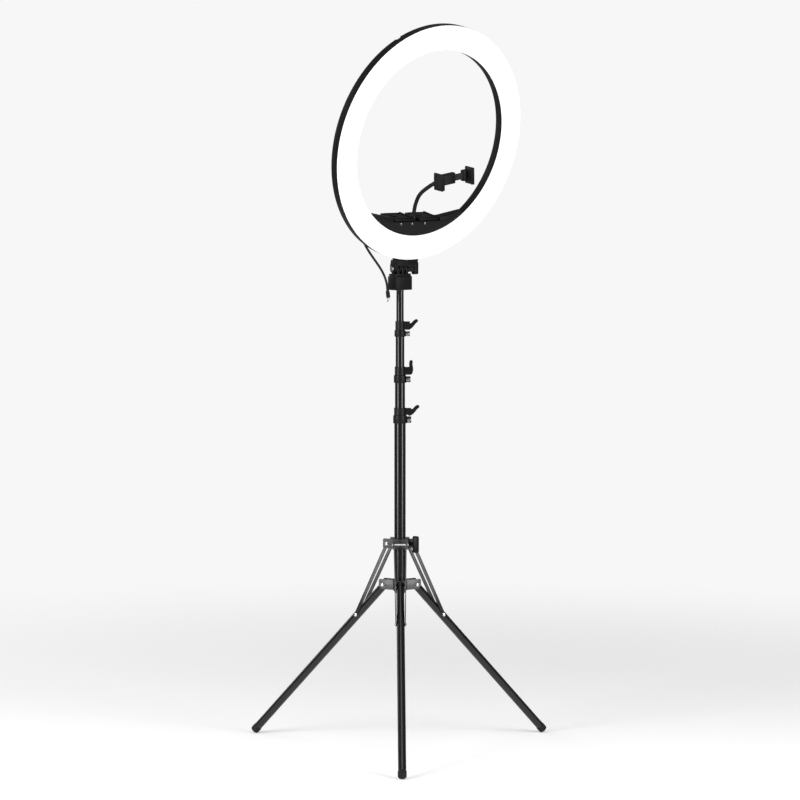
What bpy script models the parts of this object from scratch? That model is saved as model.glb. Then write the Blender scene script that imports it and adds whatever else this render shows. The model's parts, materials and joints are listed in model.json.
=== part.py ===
"""Ring light on a telescopic tripod stand, with a tilt head and a gooseneck phone holder.

Metres, +Z up. The ring faces -Y and leans forward; the stand below it is turned about its mast.
The origin is the middle of the object's box, at floor level.
"""
import math

import bmesh
import bpy
from mathutils import Euler, Vector

# ---- clearances -------------------------------------------------------------------------------
GAP = 0.0003                 # between pieces that touch
SLIDE_GAP = 0.0003           # between sliding tubes and collars
PIN_GAP = 0.0003             # round a pin in its hole

# ---- facets on round pieces -------------------------------------------------------------------
ROUND, ROUND_SMALL, ROUND_PIN = 20, 12, 8

# ---- stand: overall ---------------------------------------------------------------------------
STAND_TURN = math.radians(-41.1)     # the stand's turn under the head
LEG_COUNT = 3
FRONT_LEG = math.radians(-90.0)      # the first leg's direction on the stand
LEVER_SIDE = 0.0                     # the side the mast levers point to, on the stand
KNOB_SIDE = math.radians(-30.0)      # the collar knob, midway between two legs

# ---- mast tubes: outer radius, wall, lowest and highest point ---------------------------------
TUBE_WALL = 0.0010
BASE_R = 0.0110
SECTION_STEP = TUBE_WALL + SLIDE_GAP         # each tube is smaller by a wall and a clearance
BASE_BOTTOM = 0.3045
CLAMP_SPLIT = (0.6506, 0.7283, 0.8155)       # where each clamp's two rings meet: lower, middle, upper
CLAMP_RISE = (0.0142, 0.0161, 0.0171)        # upper ring height
CLAMP_DROP = (0.0157, 0.0147, 0.0127)        # lower ring height
SECTION_BOTTOM = (0.3745, 0.4545, 0.5345)    # hidden lower ends of the three sliding sections

# ---- mast clamps ------------------------------------------------------------------------------
CLAMP_WALL = 0.0020
CLAMP_LIP = 0.0017           # how much the lower ring stands out from the upper one
EAR_REACH = 0.0083           # pinch ear, past the lower ring
EAR_HALF = 0.0055
SCREW_R = 0.0020
SCREW_HEAD_R = 0.0034
LEVER_OFFSET = 0.0053        # lever pivot, past the lower ring
LEVER_HALF = 0.0040          # half the lever's width
CHEEK = 0.0018               # lug cheeks on both sides of the lever
TRUNNION_R = 0.0015
LEVER_OPEN = math.radians(46.0)
LEVER_ANGLES = (LEVER_OPEN, 0.0, LEVER_OPEN)  # lower and upper clamps stand open, the middle one is shut

# ---- hub, collar, legs and braces -------------------------------------------------------------
BARREL_WALL = 0.0013
HUB_TOP, HUB_BOTTOM = 0.3296, 0.3100
HUB_PIVOT_R, HUB_PIVOT_Z = 0.0340, 0.3185
COLLAR_TOP, COLLAR_BOTTOM = 0.4103, 0.3916
COLLAR_PIVOT_R = 0.0220
EAR_PLATE = 0.0018
EAR_END = 0.0078             # ear plate past its pivot
WEB = 0.0028                 # plate that carries a pair of ears, out from the bore
LEG_R = 0.00775
LEG_WALL = 0.0010
LEG_ANGLE = math.radians(43.6)       # from straight down
LEG_END_Z = 0.0050                   # height of the middle of a leg's end
LEG_TOP = 0.0080                     # tube above its pivot
PLUG_DEPTH = 0.0140
FOOT_WALL = 0.0010
FOOT_LENGTH = 0.0260
BRACE_AT = 0.0870                    # brace pivot, along the leg from its own pivot
BRACE_LENGTH = 0.1619
BRACE_HALF = 0.0040                  # half the strip's width
STRIP = 0.0018                       # strip thickness
STRIP_SPREAD = 0.0028                # strips stand wider apart at the collar than at the leg
SLEEVE_R = 0.0029
RIVET_R = 0.0019
RIVET_HEAD_R = 0.0034
RIVET_HEAD = 0.0012

# ---- collar knob ------------------------------------------------------------------------------
BOSS_R, BOSS_PAST = 0.0045, 0.00137      # the boss's end, past where the ears beside it meet
STEM_R = 0.0022
KNOB_NECK, WING_THICK = 0.0090, 0.0095
WING_HALF_HEIGHT, WING_HALF_WIDTH = 0.0165, 0.0050

# ---- tilt head --------------------------------------------------------------------------------
PIVOT_Z = 0.9345
MAST_TOP = PIVOT_Z - 0.0220  # the mast's end, inside the block
RING_TILT = math.radians(14.0)
LEAF_COUNT = 7               # hinge leaves in all: the bracket's and the block's take turns
LEAF = 0.0052
LEAF_R = 0.0088
BLOCK_HALF_X, BLOCK_HALF_Y = 0.0200, 0.0136
BLOCK_TOP, BLOCK_BOTTOM = -0.0150, -0.0415   # from the tilt pivot
NECK_TOP = -0.0100
BOLT_R, BOLT_HEAD_R, BOLT_HEAD = 0.0030, 0.0050, 0.0032
TILT_HUB_R, TILT_HUB_LENGTH = 0.0078, 0.0146
BRACKET_HALF_X = 0.0270
BRACKET_FRONT = -0.0190      # front of the bracket, from the tilt pivot
BACK_PLATE = 0.0055
BACK_PLATE_HALF_X = 0.0240
BACK_PLATE_HEIGHT = 0.0420   # overlap with the ring's back

# ---- ring -------------------------------------------------------------------------------------
RING_R = 0.2300
OPENING_R = 0.1820
RING_DEPTH = 0.0190
RING_WALL = 0.0020
RING_FORWARD = 0.0270        # the diffuser's face, in front of the tilt pivot
RING_DROP = 0.0250           # the tilt pivot, below the ring's lowest edge
DIFFUSER = 0.0014
SKIRT = 0.0012
BOARD = 0.0016
BOARD_MARGIN = 0.0050
RING_STEPS = 60
NOTCH_ANGLE = math.radians(119.0)
NOTCH_WIDTH, NOTCH_DEPTH = 0.0120, 0.0040

# ---- controls on the ring's lower inner edge --------------------------------------------------
HOUSING_HEIGHT = 0.0275
HORN_RISE, HORN_STEP = 0.0175, 0.0070     # the housing's tips, and the step beside the battery plates
TROUGH_HALF = 0.0600
CHORD = OPENING_R - HOUSING_HEIGHT   # floor of the housing's trough, below the ring's centre
HOUSING_FRONT = 0.0015       # behind the diffuser's face
HOUSING_WALL = 0.0020
COVER_BACK = 0.0440
COVER_HALF_TOP, COVER_HALF_BOTTOM = 0.0860, 0.0660
COVER_BOTTOM = OPENING_R + 0.0020
DIAL_R, DIAL_LENGTH, DIAL_X = 0.0085, 0.0110, 0.0330
SHAFT_R = 0.0030
PLATE_WIDTH, PLATE_THICK = 0.0490, 0.0050
PLATE_LEFT_X = (-0.0550, 0.0080)     # left edge of each battery plate
PLATE_FRONT, PLATE_BACK = 0.0040, 0.0480
STOP, STOP_RISE = 0.0030, 0.0055
LATCH_HALF, LATCH_RISE, LATCH_DROP = 0.0045, 0.0016, 0.0030

# ---- phone holder -----------------------------------------------------------------------------
NECK_R = 0.0035
NECK_BASE_R, NECK_BASE_RISE = 0.0055, 0.0095
NECK_BACK = 0.0140           # the gooseneck's base, behind the diffuser's face
# route above the trough's floor and in front of the diffuser's face
NECK_ROUTE = ((0.0097, -0.0140), (0.0300, -0.0140), (0.0530, -0.0060), (0.0750, 0.0165),
              (0.0950, 0.0440), (0.1039, 0.0610))
BALL_R = 0.0055
CLAMP_TILT = math.radians(-5.0)      # the holder leans back from the ring
CLAMP_ROLL = math.radians(9.0)       # and is turned on its ball
JAW_GAP = 0.0735
JAW_HALF_HEIGHT = 0.0165
JAW_WALL = 0.0045
JAW_DEPTH = 0.0150
LIP = 0.0035
BAR_HALF, BAR_THICK = 0.0105, 0.0095
RAIL_HALF, RAIL_THICK = 0.0060, 0.0035
BAR_RIGHT = 0.0060

# ---- power cord -------------------------------------------------------------------------------
CORD_R = 0.00225
PLUG_R, PLUG_LENGTH = 0.0040, 0.0240
GLAND_R, GLAND_LENGTH = 0.0050, 0.0100
CORD_EXIT_SIDE = 0.1010              # to the left of the ring's centre, midway across the ring's back
CORD_EXIT = (-CORD_EXIT_SIDE, -math.sqrt(((OPENING_R + RING_R) / 2 + 0.0005) ** 2 - CORD_EXIT_SIDE ** 2))
# route from the gland's mouth to the plug: right, forward of the mast and up, at the head's rest tilt
CORD_ROUTE = ((-0.1010, -0.0159, 1.0077), (-0.1010, -0.0109, 1.0080), (-0.1008, -0.0065, 1.0053),
              (-0.1000, -0.0039, 1.0007), (-0.0983, -0.0030, 0.9949), (-0.0941, -0.0027, 0.9863),
              (-0.0861, -0.0025, 0.9748), (-0.0755, -0.0030, 0.9616), (-0.0639, -0.0034, 0.9484),
              (-0.0523, -0.0033, 0.9351), (-0.0430, -0.0030, 0.9215), (-0.0372, -0.0030, 0.9075),
              (-0.0350, -0.0030, 0.8945))
CORD_SPACING = 0.0070

PAINTS = {
    "gloss_black": ((0.012, 0.012, 0.013), 0.22, 0.0),
    "satin_black": ((0.020, 0.020, 0.021), 0.45, 0.0),
    "plastic_black": ((0.018, 0.018, 0.019), 0.55, 0.0),
    "gunmetal": ((0.120, 0.120, 0.125), 0.38, 1.0),
    "chrome": ((0.780, 0.780, 0.790), 0.12, 1.0),
    "rubber": ((0.015, 0.015, 0.015), 0.85, 0.0),
    "diffuser": ((0.930, 0.930, 0.920), 0.50, 0.0),
    "board": ((0.850, 0.850, 0.830), 0.60, 0.0),
}

for old in list(bpy.data.objects):
    bpy.data.objects.remove(old, do_unlink=True)

PARTS = bpy.data.collections.new("ring_light")
CUTTERS = bpy.data.collections.new("cutters")
for collection in (PARTS, CUTTERS):
    bpy.context.scene.collection.children.link(collection)


# ---- modelling helpers ------------------------------------------------------------------------
def frame(name, parent=None, location=(0, 0, 0), rotation=(0, 0, 0)):
    """An empty that other pieces hang on."""
    empty = bpy.data.objects.new(name, None)
    PARTS.objects.link(empty)
    empty.parent = parent
    empty.location = location
    empty.rotation_euler = rotation
    return empty


def paint(name):
    found = bpy.data.materials.get(name)
    if found:
        return found
    colour, roughness, metallic = PAINTS[name]
    made = bpy.data.materials.new(name)
    made.use_nodes = True
    shader = made.node_tree.nodes["Principled BSDF"]
    shader.inputs["Base Color"].default_value = (*colour, 1.0)
    shader.inputs["Roughness"].default_value = roughness
    shader.inputs["Metallic"].default_value = metallic
    return made


def solid(name, mesh):
    obj = bpy.data.objects.new(name, mesh)
    PARTS.objects.link(obj)
    return obj


def box(name, low, high, bevel=0.0):
    """A block between two corners."""
    bm = bmesh.new()
    bmesh.ops.create_cube(bm, size=1.0)
    low, high = Vector(low), Vector(high)
    bmesh.ops.scale(bm, vec=high - low, verts=bm.verts)
    bmesh.ops.translate(bm, vec=(low + high) / 2, verts=bm.verts)
    mesh = bpy.data.meshes.new(name)
    bm.to_mesh(mesh)
    bm.free()
    obj = solid(name, mesh)
    if bevel:
        edge = obj.modifiers.new("edges", "BEVEL")
        edge.width = bevel
        edge.segments = 1
    return obj


AIM = {"X": (0, math.pi / 2, 0), "Y": (-math.pi / 2, 0, 0), "Z": (0, 0, 0)}


def rod(name, radius, start, end, axis="Z", at=(0, 0), steps=ROUND_SMALL, end_radius=None):
    """A cylinder or cone along an axis, from start to end; at is its place across that axis."""
    bm = bmesh.new()
    tip = radius if end_radius is None else end_radius
    bmesh.ops.create_cone(bm, cap_ends=True, segments=steps, radius1=radius, radius2=tip,
                          depth=end - start)
    bmesh.ops.rotate(bm, matrix=Euler(AIM[axis]).to_matrix(), verts=bm.verts)
    middle = (start + end) / 2
    place = {"X": (middle, at[0], at[1]), "Y": (at[0], middle, at[1]), "Z": (at[0], at[1], middle)}
    bmesh.ops.translate(bm, vec=place[axis], verts=bm.verts)
    mesh = bpy.data.meshes.new(name)
    bm.to_mesh(mesh)
    bm.free()
    mesh.shade_smooth()
    mesh.set_sharp_from_angle(angle=math.radians(35))
    return solid(name, mesh)


def turned(name, profile, steps=ROUND, loop=True):
    """A profile of (radius, height) points turned about Z; it runs down the outer side first."""
    mesh = bpy.data.meshes.new(name)
    count = len(profile)
    edges = [(i, i + 1) for i in range(count - 1)]
    if loop:
        edges.append((count - 1, 0))
    mesh.from_pydata([(r, 0, z) for r, z in profile], edges, [])
    obj = solid(name, mesh)
    screw = obj.modifiers.new("turn", "SCREW")
    screw.axis = "Z"
    screw.angle = math.tau
    screw.steps = steps
    screw.render_steps = steps
    screw.use_merge_vertices = True
    screw.merge_threshold = 1e-5
    return obj


def pipe(name, outer, inner, bottom, top, steps=ROUND):
    return turned(name, [(outer, top), (outer, bottom), (inner, bottom), (inner, top)], steps)


def plate(name, outline, start, end, axis="Z"):
    """A flat outline given thickness. Outline points are (x, y) for Z, (x, z) for Y, (y, z) for X."""
    curve = bpy.data.curves.new(name, "CURVE")
    curve.dimensions = "2D"
    curve.fill_mode = "BOTH"
    curve.extrude = (end - start) / 2
    spline = curve.splines.new("POLY")
    spline.points.add(len(outline) - 1)
    for point, (u, v) in zip(spline.points, outline):
        point.co = (u, v, 0, 1)
    spline.use_cyclic_u = True
    shape = bpy.data.objects.new(name, curve)
    PARTS.objects.link(shape)
    obj = as_mesh(shape)
    middle = (start + end) / 2
    for vertex in obj.data.vertices:
        u, v, w = vertex.co
        vertex.co = {"Z": (u, v, middle + w), "Y": (u, middle - w, v), "X": (middle + w, u, v)}[axis]
    return obj


def as_mesh(shape):
    """The mesh of a curve object, its caps welded; the curve is removed."""
    bpy.context.view_layer.update()
    graph = bpy.context.evaluated_depsgraph_get()
    mesh = bpy.data.meshes.new_from_object(shape.evaluated_get(graph))
    bm = bmesh.new()
    bm.from_mesh(mesh)
    bmesh.ops.remove_doubles(bm, verts=bm.verts, dist=1e-6)
    bm.to_mesh(mesh)
    bm.free()
    name = shape.name
    matrix = shape.matrix_world.copy()
    bpy.data.objects.remove(shape, do_unlink=True)
    obj = solid(name, mesh)
    obj.matrix_world = matrix
    return obj


def boolean(target, tools, operation):
    """Joins or cuts target with tools, which are placed in target's own axes."""
    for tool in tools:
        if tool.parent is None:
            tool.parent = target
        if tool.name in PARTS.objects:
            PARTS.objects.unlink(tool)
            CUTTERS.objects.link(tool)
        tool.hide_render = True
        tool.display_type = "WIRE"
        step = target.modifiers.new(operation.lower(), "BOOLEAN")
        step.operation = operation
        step.solver = "EXACT"
        step.object = tool
    return target


def join(target, *tools):
    return boolean(target, tools, "UNION")


def cut(target, *tools):
    return boolean(target, tools, "DIFFERENCE")


def finish(obj, finish_name, parent, location=(0, 0, 0), rotation=(0, 0, 0)):
    """Gives a piece its own material and its place."""
    made = paint(finish_name).copy()
    made.name = obj.name
    obj.data.materials.clear()
    obj.data.materials.append(made)
    obj.parent = parent
    obj.location = location
    obj.rotation_euler = rotation
    return obj


def arc(radius, start, end, steps, centre=(0.0, 0.0)):
    """Points on an arc, both ends included; angles in degrees."""
    points = []
    for i in range(steps + 1):
        a = math.radians(start + (end - start) * i / steps)
        points.append((centre[0] + radius * math.cos(a), centre[1] + radius * math.sin(a)))
    return points


def smooth_route(points, spacing):
    """Evenly spaced points on a Catmull-Rom curve through the route's points."""
    knots = [Vector(p) for p in points]
    knots = [2 * knots[0] - knots[1]] + knots + [2 * knots[-1] - knots[-2]]
    fine = []
    for i in range(1, len(knots) - 2):
        a, b, c, d = knots[i - 1:i + 3]
        for j in range(20):
            t = j / 20
            fine.append(0.5 * ((2 * b) + (c - a) * t + (2 * a - 5 * b + 4 * c - d) * t ** 2
                               + (3 * b - a - 3 * c + d) * t ** 3))
    fine.append(knots[-2])
    length = sum((q - p).length for p, q in zip(fine, fine[1:]))
    count = max(2, round(length / spacing))
    out, walked, target = [fine[0]], 0.0, 1
    for p, q in zip(fine, fine[1:]):
        step = (q - p).length
        while target < count and walked + step >= target * length / count:
            out.append(p.lerp(q, (target * length / count - walked) / step))
            target += 1
        walked += step
    out.append(fine[-1])
    return out


def wire(name, points, radius, resolution=2):
    """A round wire along a list of points."""
    curve = bpy.data.curves.new(name, "CURVE")
    curve.dimensions = "3D"
    curve.bevel_depth = radius
    curve.bevel_resolution = resolution
    curve.use_fill_caps = True
    spline = curve.splines.new("POLY")
    spline.points.add(len(points) - 1)
    for point, place in zip(spline.points, points):
        point.co = (*place, 1)
    obj = bpy.data.objects.new(name, curve)
    PARTS.objects.link(obj)
    return obj


def rivet(name, half_length, parent, location=(0, 0, 0), rotation=(0, 0, 0)):
    """A plain pin along Y with a low head at each end."""
    end = half_length + RIVET_HEAD / 2
    pin = rod(name, RIVET_R, -end, end, "Y", steps=ROUND_PIN)
    for side in (-1, 1):
        inner, outer = side * half_length, side * (half_length + RIVET_HEAD)
        low, high = min(inner, outer), max(inner, outer)
        radii = (RIVET_HEAD_R, RIVET_HEAD_R * 0.7)
        head = rod(f"{name}_head", radii[side < 0], low, high, "Y", steps=ROUND_PIN,
                   end_radius=radii[side > 0])
        join(pin, head)
    return finish(pin, "chrome", parent, location, rotation)


# ---- frames -----------------------------------------------------------------------------------
ASSEMBLY = frame("assembly")
STAND = frame("stand", ASSEMBLY, rotation=(0, 0, STAND_TURN))
HEAD = frame("head", ASSEMBLY, location=(0, 0, PIVOT_Z))
TILT = frame("tilt", HEAD, rotation=(RING_TILT, 0, 0))
RING = frame("ring", TILT, location=(0, -RING_FORWARD, RING_DROP + RING_R),
             rotation=(math.pi / 2, 0, 0))


# ---- mast -------------------------------------------------------------------------------------
SECTION_R = [BASE_R - (i + 1) * SECTION_STEP for i in range(3)]
CLAMP_BORE = [r + SLIDE_GAP for r in SECTION_R]          # the upper ring, round the sliding section
CLAMP_SEAT = [BASE_R + GAP] + [r + GAP for r in SECTION_R[:2]]   # the lower ring, on its own tube
CLAMP_NAMES = ("lower", "middle", "upper")


def build_tubes():
    tube = pipe("base_tube", BASE_R, BASE_R - TUBE_WALL, BASE_BOTTOM, CLAMP_SPLIT[0] - 0.0012)
    finish(tube, "gloss_black", STAND)
    tops = (CLAMP_SPLIT[1] - 0.0012, CLAMP_SPLIT[2] - 0.0012, MAST_TOP)
    for i, (radius, bottom, top) in enumerate(zip(SECTION_R, SECTION_BOTTOM, tops)):
        section = pipe(f"mast_section_{i + 2}", radius, radius - TUBE_WALL, bottom, top)
        finish(section, "gloss_black", STAND)


def build_clamp(i):
    name, split = CLAMP_NAMES[i], CLAMP_SPLIT[i]
    outer = CLAMP_SEAT[i] + CLAMP_WALL
    upper = outer - CLAMP_LIP
    top, bottom = split + CLAMP_RISE[i], split - CLAMP_DROP[i]
    ledge = split - 0.0009
    clamp = turned(f"clamp_{name}", [
        (upper, top), (upper, split), (outer, ledge), (outer, bottom),
        (CLAMP_SEAT[i], bottom), (CLAMP_SEAT[i], ledge), (CLAMP_BORE[i], ledge), (CLAMP_BORE[i], top)])
    pivot_x = outer + LEVER_OFFSET
    pivot_z = split + CLAMP_RISE[i] / 2
    cheek = LEVER_HALF + GAP + CHEEK
    lug = box("lug", (upper - 0.0012, -cheek, split + 0.0008), (pivot_x + 0.0030, cheek, top - 0.0008))
    slot = box("lever_slot", (pivot_x - 0.0052, -LEVER_HALF - GAP, split - 0.01),
               (pivot_x + 0.02, LEVER_HALF + GAP, top + 0.01))
    pin_hole = rod("pin_hole", TRUNNION_R + PIN_GAP, -0.02, 0.02, "Y", (pivot_x, pivot_z), ROUND_PIN)
    ear_low, ear_high = bottom + 0.0012, ledge - 0.0020
    ear = box("ear", (outer - 0.0012, -EAR_HALF, ear_low), (outer + EAR_REACH, EAR_HALF, ear_high))
    screw_x, screw_z = outer + 0.0040, (ear_low + ear_high) / 2
    screw_hole = rod("screw_hole", SCREW_R + PIN_GAP, -0.02, 0.02, "Y", (screw_x, screw_z), ROUND_PIN)
    slit = box("slit", (CLAMP_SEAT[i] - 0.004, -0.0006, bottom - 0.01), (0.05, 0.0006, ledge - 0.0010))
    join(clamp, lug, ear)
    cut(clamp, slot, pin_hole, screw_hole, slit)
    finish(clamp, "plastic_black", STAND, rotation=(0, 0, LEVER_SIDE))

    screw = rod(f"clamp_screw_{name}", SCREW_R, -EAR_HALF - 0.0030, EAR_HALF + 0.0030, "Y", steps=ROUND_PIN)
    head = rod("head", SCREW_HEAD_R, -EAR_HALF - 0.0030, -EAR_HALF - GAP, "Y")
    nut = rod("nut", SCREW_HEAD_R, EAR_HALF + GAP, EAR_HALF + 0.0026, "Y", steps=6)
    join(screw, head, nut)
    aim = (math.cos(LEVER_SIDE), math.sin(LEVER_SIDE))
    finish(screw, "chrome", STAND, (screw_x * aim[0], screw_x * aim[1], screw_z), (0, 0, LEVER_SIDE))

    outline = ([(0.0012, -0.0068), (0.0048, -0.0070), (0.0070, -0.0040), (0.0082, 0.0020),
                (0.0078, 0.0080), (0.0068, 0.0135), (0.0074, 0.0180), (0.0062, 0.0204),
                (0.0034, 0.0208), (0.0012, 0.0190), (0.0002, 0.0140), (0.0006, 0.0080)]
               + arc(0.0045, 105, 250, 5))
    lever = plate(f"clamp_lever_{name}", outline, -LEVER_HALF, LEVER_HALF, "Y")
    join(lever, rod("trunnion", TRUNNION_R, -cheek, cheek, "Y", steps=ROUND_PIN))
    hinge = frame(f"lever_hinge_{name}", STAND, (pivot_x * aim[0], pivot_x * aim[1], pivot_z),
                  (0, 0, LEVER_SIDE))
    finish(lever, "plastic_black", hinge, rotation=(0, LEVER_ANGLES[i], 0))


# ---- hub, collar and knob ---------------------------------------------------------------------
LEG_EAR = LEG_R + GAP                       # inner face of a hub ear, across the leg
STRIP_TOP_IN = LEG_EAR + STRIP_SPREAD       # inner face of a strip at the collar
COLLAR_EAR = STRIP_TOP_IN + STRIP + GAP     # inner face of a collar ear
HALF_SPACE = math.pi / LEG_COUNT            # from a leg to the knob between two of them
BOSS_END = (COLLAR_EAR + EAR_PLATE + BOSS_R * math.cos(HALF_SPACE)) / math.sin(HALF_SPACE) + BOSS_PAST
WING_START = BOSS_END + KNOB_NECK
WING_END = WING_START + WING_THICK
BARREL_BORE = BASE_R + SLIDE_GAP
COLLAR_PIVOT_Z = (HUB_PIVOT_Z - BRACE_AT * math.cos(LEG_ANGLE)
                  + math.sqrt(BRACE_LENGTH ** 2 - (HUB_PIVOT_R + BRACE_AT * math.sin(LEG_ANGLE)
                                                  - COLLAR_PIVOT_R) ** 2))
BRACE_ANGLE = math.asin((HUB_PIVOT_R + BRACE_AT * math.sin(LEG_ANGLE) - COLLAR_PIVOT_R) / BRACE_LENGTH)


def leg_direction(i):
    return FRONT_LEG + i * math.tau / LEG_COUNT


def ear_plates(inner, pivot_r, bottom, top, drop):
    """Pairs of radial plates, one pair for each leg, in the stand's axes."""
    start = math.sqrt(max((BARREL_BORE + 0.0003) ** 2 - inner ** 2, 0.0)) + 0.0003
    end = pivot_r + EAR_END
    outline = [(start, bottom), (end - drop, bottom), (end, bottom + drop),
               (end, top - 0.002), (end - 0.002, top), (start, top)]
    plates = []
    for i in range(LEG_COUNT):
        for side in (-1, 1):
            low, high = sorted((side * inner, side * (inner + EAR_PLATE)))
            ear = plate("ear", outline, low, high, "Y")
            ear.rotation_euler = (0, 0, leg_direction(i))
            plates.append(ear)
        reach = inner + EAR_PLATE - 0.0004
        web = box("web", (BARREL_BORE + 0.0003, -reach, bottom + 0.0005),
                  (BARREL_BORE + WEB, reach, top - 0.0005))
        web.rotation_euler = (0, 0, leg_direction(i))
        plates.append(web)
    return plates


def pin_holes(pivot_r, pivot_z):
    holes = []
    for i in range(LEG_COUNT):
        hole = rod("hole", RIVET_R + PIN_GAP, -0.03, 0.03, "Y", (pivot_r, pivot_z), ROUND_PIN)
        hole.rotation_euler = (0, 0, leg_direction(i))
        holes.append(hole)
    return holes


def build_hub():
    barrel = BARREL_BORE + BARREL_WALL
    hub = pipe("leg_hub", barrel, BARREL_BORE, HUB_BOTTOM - 0.0020, HUB_TOP)
    join(hub, *ear_plates(LEG_EAR, HUB_PIVOT_R, HUB_BOTTOM, HUB_TOP, 0.0060))
    cut(hub, *pin_holes(HUB_PIVOT_R, HUB_PIVOT_Z))
    finish(hub, "gunmetal", STAND)


def build_collar():
    barrel = BARREL_BORE + BARREL_WALL
    collar = pipe("collar", barrel, BARREL_BORE, COLLAR_BOTTOM - 0.0015, COLLAR_TOP)
    join(collar, *ear_plates(COLLAR_EAR, COLLAR_PIVOT_R, COLLAR_BOTTOM, COLLAR_TOP, 0.0020))
    boss = rod("boss", BOSS_R, BARREL_BORE + 0.0003, BOSS_END, "X", (0, COLLAR_PIVOT_Z))
    boss.rotation_euler = (0, 0, KNOB_SIDE)
    join(collar, boss)
    cut(collar, *pin_holes(COLLAR_PIVOT_R, COLLAR_PIVOT_Z))
    stem_hole = rod("stem_hole", STEM_R + PIN_GAP, BASE_R * 0.9, BOSS_END + 0.01, "X",
                    (0, COLLAR_PIVOT_Z))
    stem_hole.rotation_euler = (0, 0, KNOB_SIDE)
    cut(collar, stem_hole)
    finish(collar, "gunmetal", STAND)


def build_collar_knob():
    knob = rod("collar_knob", STEM_R, BASE_R + 2 * GAP, WING_START + 0.002, "X")
    neck = rod("neck", BOSS_R, BOSS_END + GAP, WING_START + 0.001, "X")
    half_w, half_h = WING_HALF_WIDTH, WING_HALF_HEIGHT
    outline = (arc(half_w, 20, 160, 5, (0, half_h - half_w))
               + arc(half_w, 200, 340, 5, (0, half_w - half_h)))
    wing = plate("wing", outline, WING_START, WING_END, "X")
    join(knob, neck, wing)
    axle = frame("collar_knob_axis", STAND, (0, 0, COLLAR_PIVOT_Z), (0, 0, KNOB_SIDE))
    finish(knob, "plastic_black", axle)


# ---- legs -------------------------------------------------------------------------------------
LEG_LENGTH = (HUB_PIVOT_Z - LEG_END_Z) / math.cos(LEG_ANGLE)
LEG_NAMES = ("front", "right", "left")
STRIP_LEAN = math.atan(STRIP_SPREAD / BRACE_LENGTH)


def strip(side):
    """One side of a brace: a flat strip from the leg pivot up to an open hook round the collar pin."""
    clear = RIVET_R + 0.0006
    half = BRACE_HALF
    outline = (arc(half, 180, 360, 6)
               + [(half, BRACE_LENGTH)] + arc(half, 20, 90, 4, (0, BRACE_LENGTH))
               + arc(clear, 90, -90, 6, (0, BRACE_LENGTH))
               + [(-half, BRACE_LENGTH - half - 0.0040)])
    middle = LEG_EAR + STRIP / 2
    bar = plate("strip", outline, -STRIP / 2, STRIP / 2, "Y")
    bar.location = (0, side * middle, 0)
    bar.rotation_euler = (-side * STRIP_LEAN, 0, 0)
    return bar


def build_leg(i):
    name = LEG_NAMES[i]
    side = frame(f"leg_side_{name}", STAND, rotation=(0, 0, leg_direction(i)))
    hinge = frame(f"leg_hinge_{name}", side, (HUB_PIVOT_R, 0, HUB_PIVOT_Z), (0, -LEG_ANGLE, 0))
    bore = LEG_R - LEG_WALL

    tube = pipe(f"leg_tube_{name}", LEG_R, bore, -LEG_LENGTH + 0.0030, LEG_TOP)
    cut(tube, rod("rivet_hole", RIVET_R + PIN_GAP, -0.02, 0.02, "Y", steps=ROUND_PIN),
        rod("sleeve_hole", SLEEVE_R + PIN_GAP, -0.02, 0.02, "Y", (0, -BRACE_AT), ROUND_SMALL))
    finish(tube, "gloss_black", hinge)

    cap_r, plug_r = LEG_R - 0.0002, bore - GAP
    plug = turned(f"leg_plug_{name}", [
        (0, LEG_TOP + 0.0022), (cap_r - 0.001, LEG_TOP + 0.0022), (cap_r, LEG_TOP + 0.0012),
        (cap_r, LEG_TOP + GAP), (plug_r, LEG_TOP + GAP), (plug_r, -PLUG_DEPTH), (0, -PLUG_DEPTH)],
        ROUND_SMALL, loop=False)
    cut(plug, rod("plug_hole", RIVET_R + PIN_GAP, -0.02, 0.02, "Y", steps=ROUND_PIN))
    finish(plug, "plastic_black", hinge)

    seat, skin = LEG_R + GAP, LEG_R + GAP + FOOT_WALL
    top = -LEG_LENGTH + FOOT_LENGTH
    foot = turned(f"foot_{name}", [
        (skin - 0.0008, top), (skin, top - 0.0010), (skin, -LEG_LENGTH), (0, -LEG_LENGTH),
        (0, -LEG_LENGTH + 0.0030 - GAP), (seat, -LEG_LENGTH + 0.0030 - GAP), (seat, top)], loop=False)
    foot.data.edges.add(1)
    foot.data.edges[-1].vertices = (6, 0)
    floor = box("floor", (-1, -1, -0.1), (1, 1, 0))
    floor.parent = side
    cut(foot, floor)
    finish(foot, "rubber", hinge)

    rivet(f"hub_rivet_{name}", LEG_EAR + EAR_PLATE + GAP, hinge)
    rivet(f"collar_pin_{name}", COLLAR_EAR + EAR_PLATE + GAP, side, (COLLAR_PIVOT_R, 0, COLLAR_PIVOT_Z))

    pivot = frame(f"brace_hinge_{name}", hinge, (0, 0, -BRACE_AT), (0, LEG_ANGLE - BRACE_ANGLE, 0))
    inside = LEG_EAR + STRIP / 2
    brace = rod(f"brace_{name}", SLEEVE_R, -inside, inside, "Y")
    join(brace, strip(-1), strip(1))
    cut(brace, rod("bore", RIVET_R + PIN_GAP, -0.02, 0.02, "Y", steps=ROUND_PIN))
    finish(brace, "gunmetal", pivot)
    rivet(f"brace_rivet_{name}", LEG_EAR + STRIP + 2 * GAP, pivot)


# ---- tilt head --------------------------------------------------------------------------------
LEAF_PITCH = LEAF + GAP
STACK_HALF = (LEAF_COUNT * LEAF + (LEAF_COUNT - 1) * GAP) / 2


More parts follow.
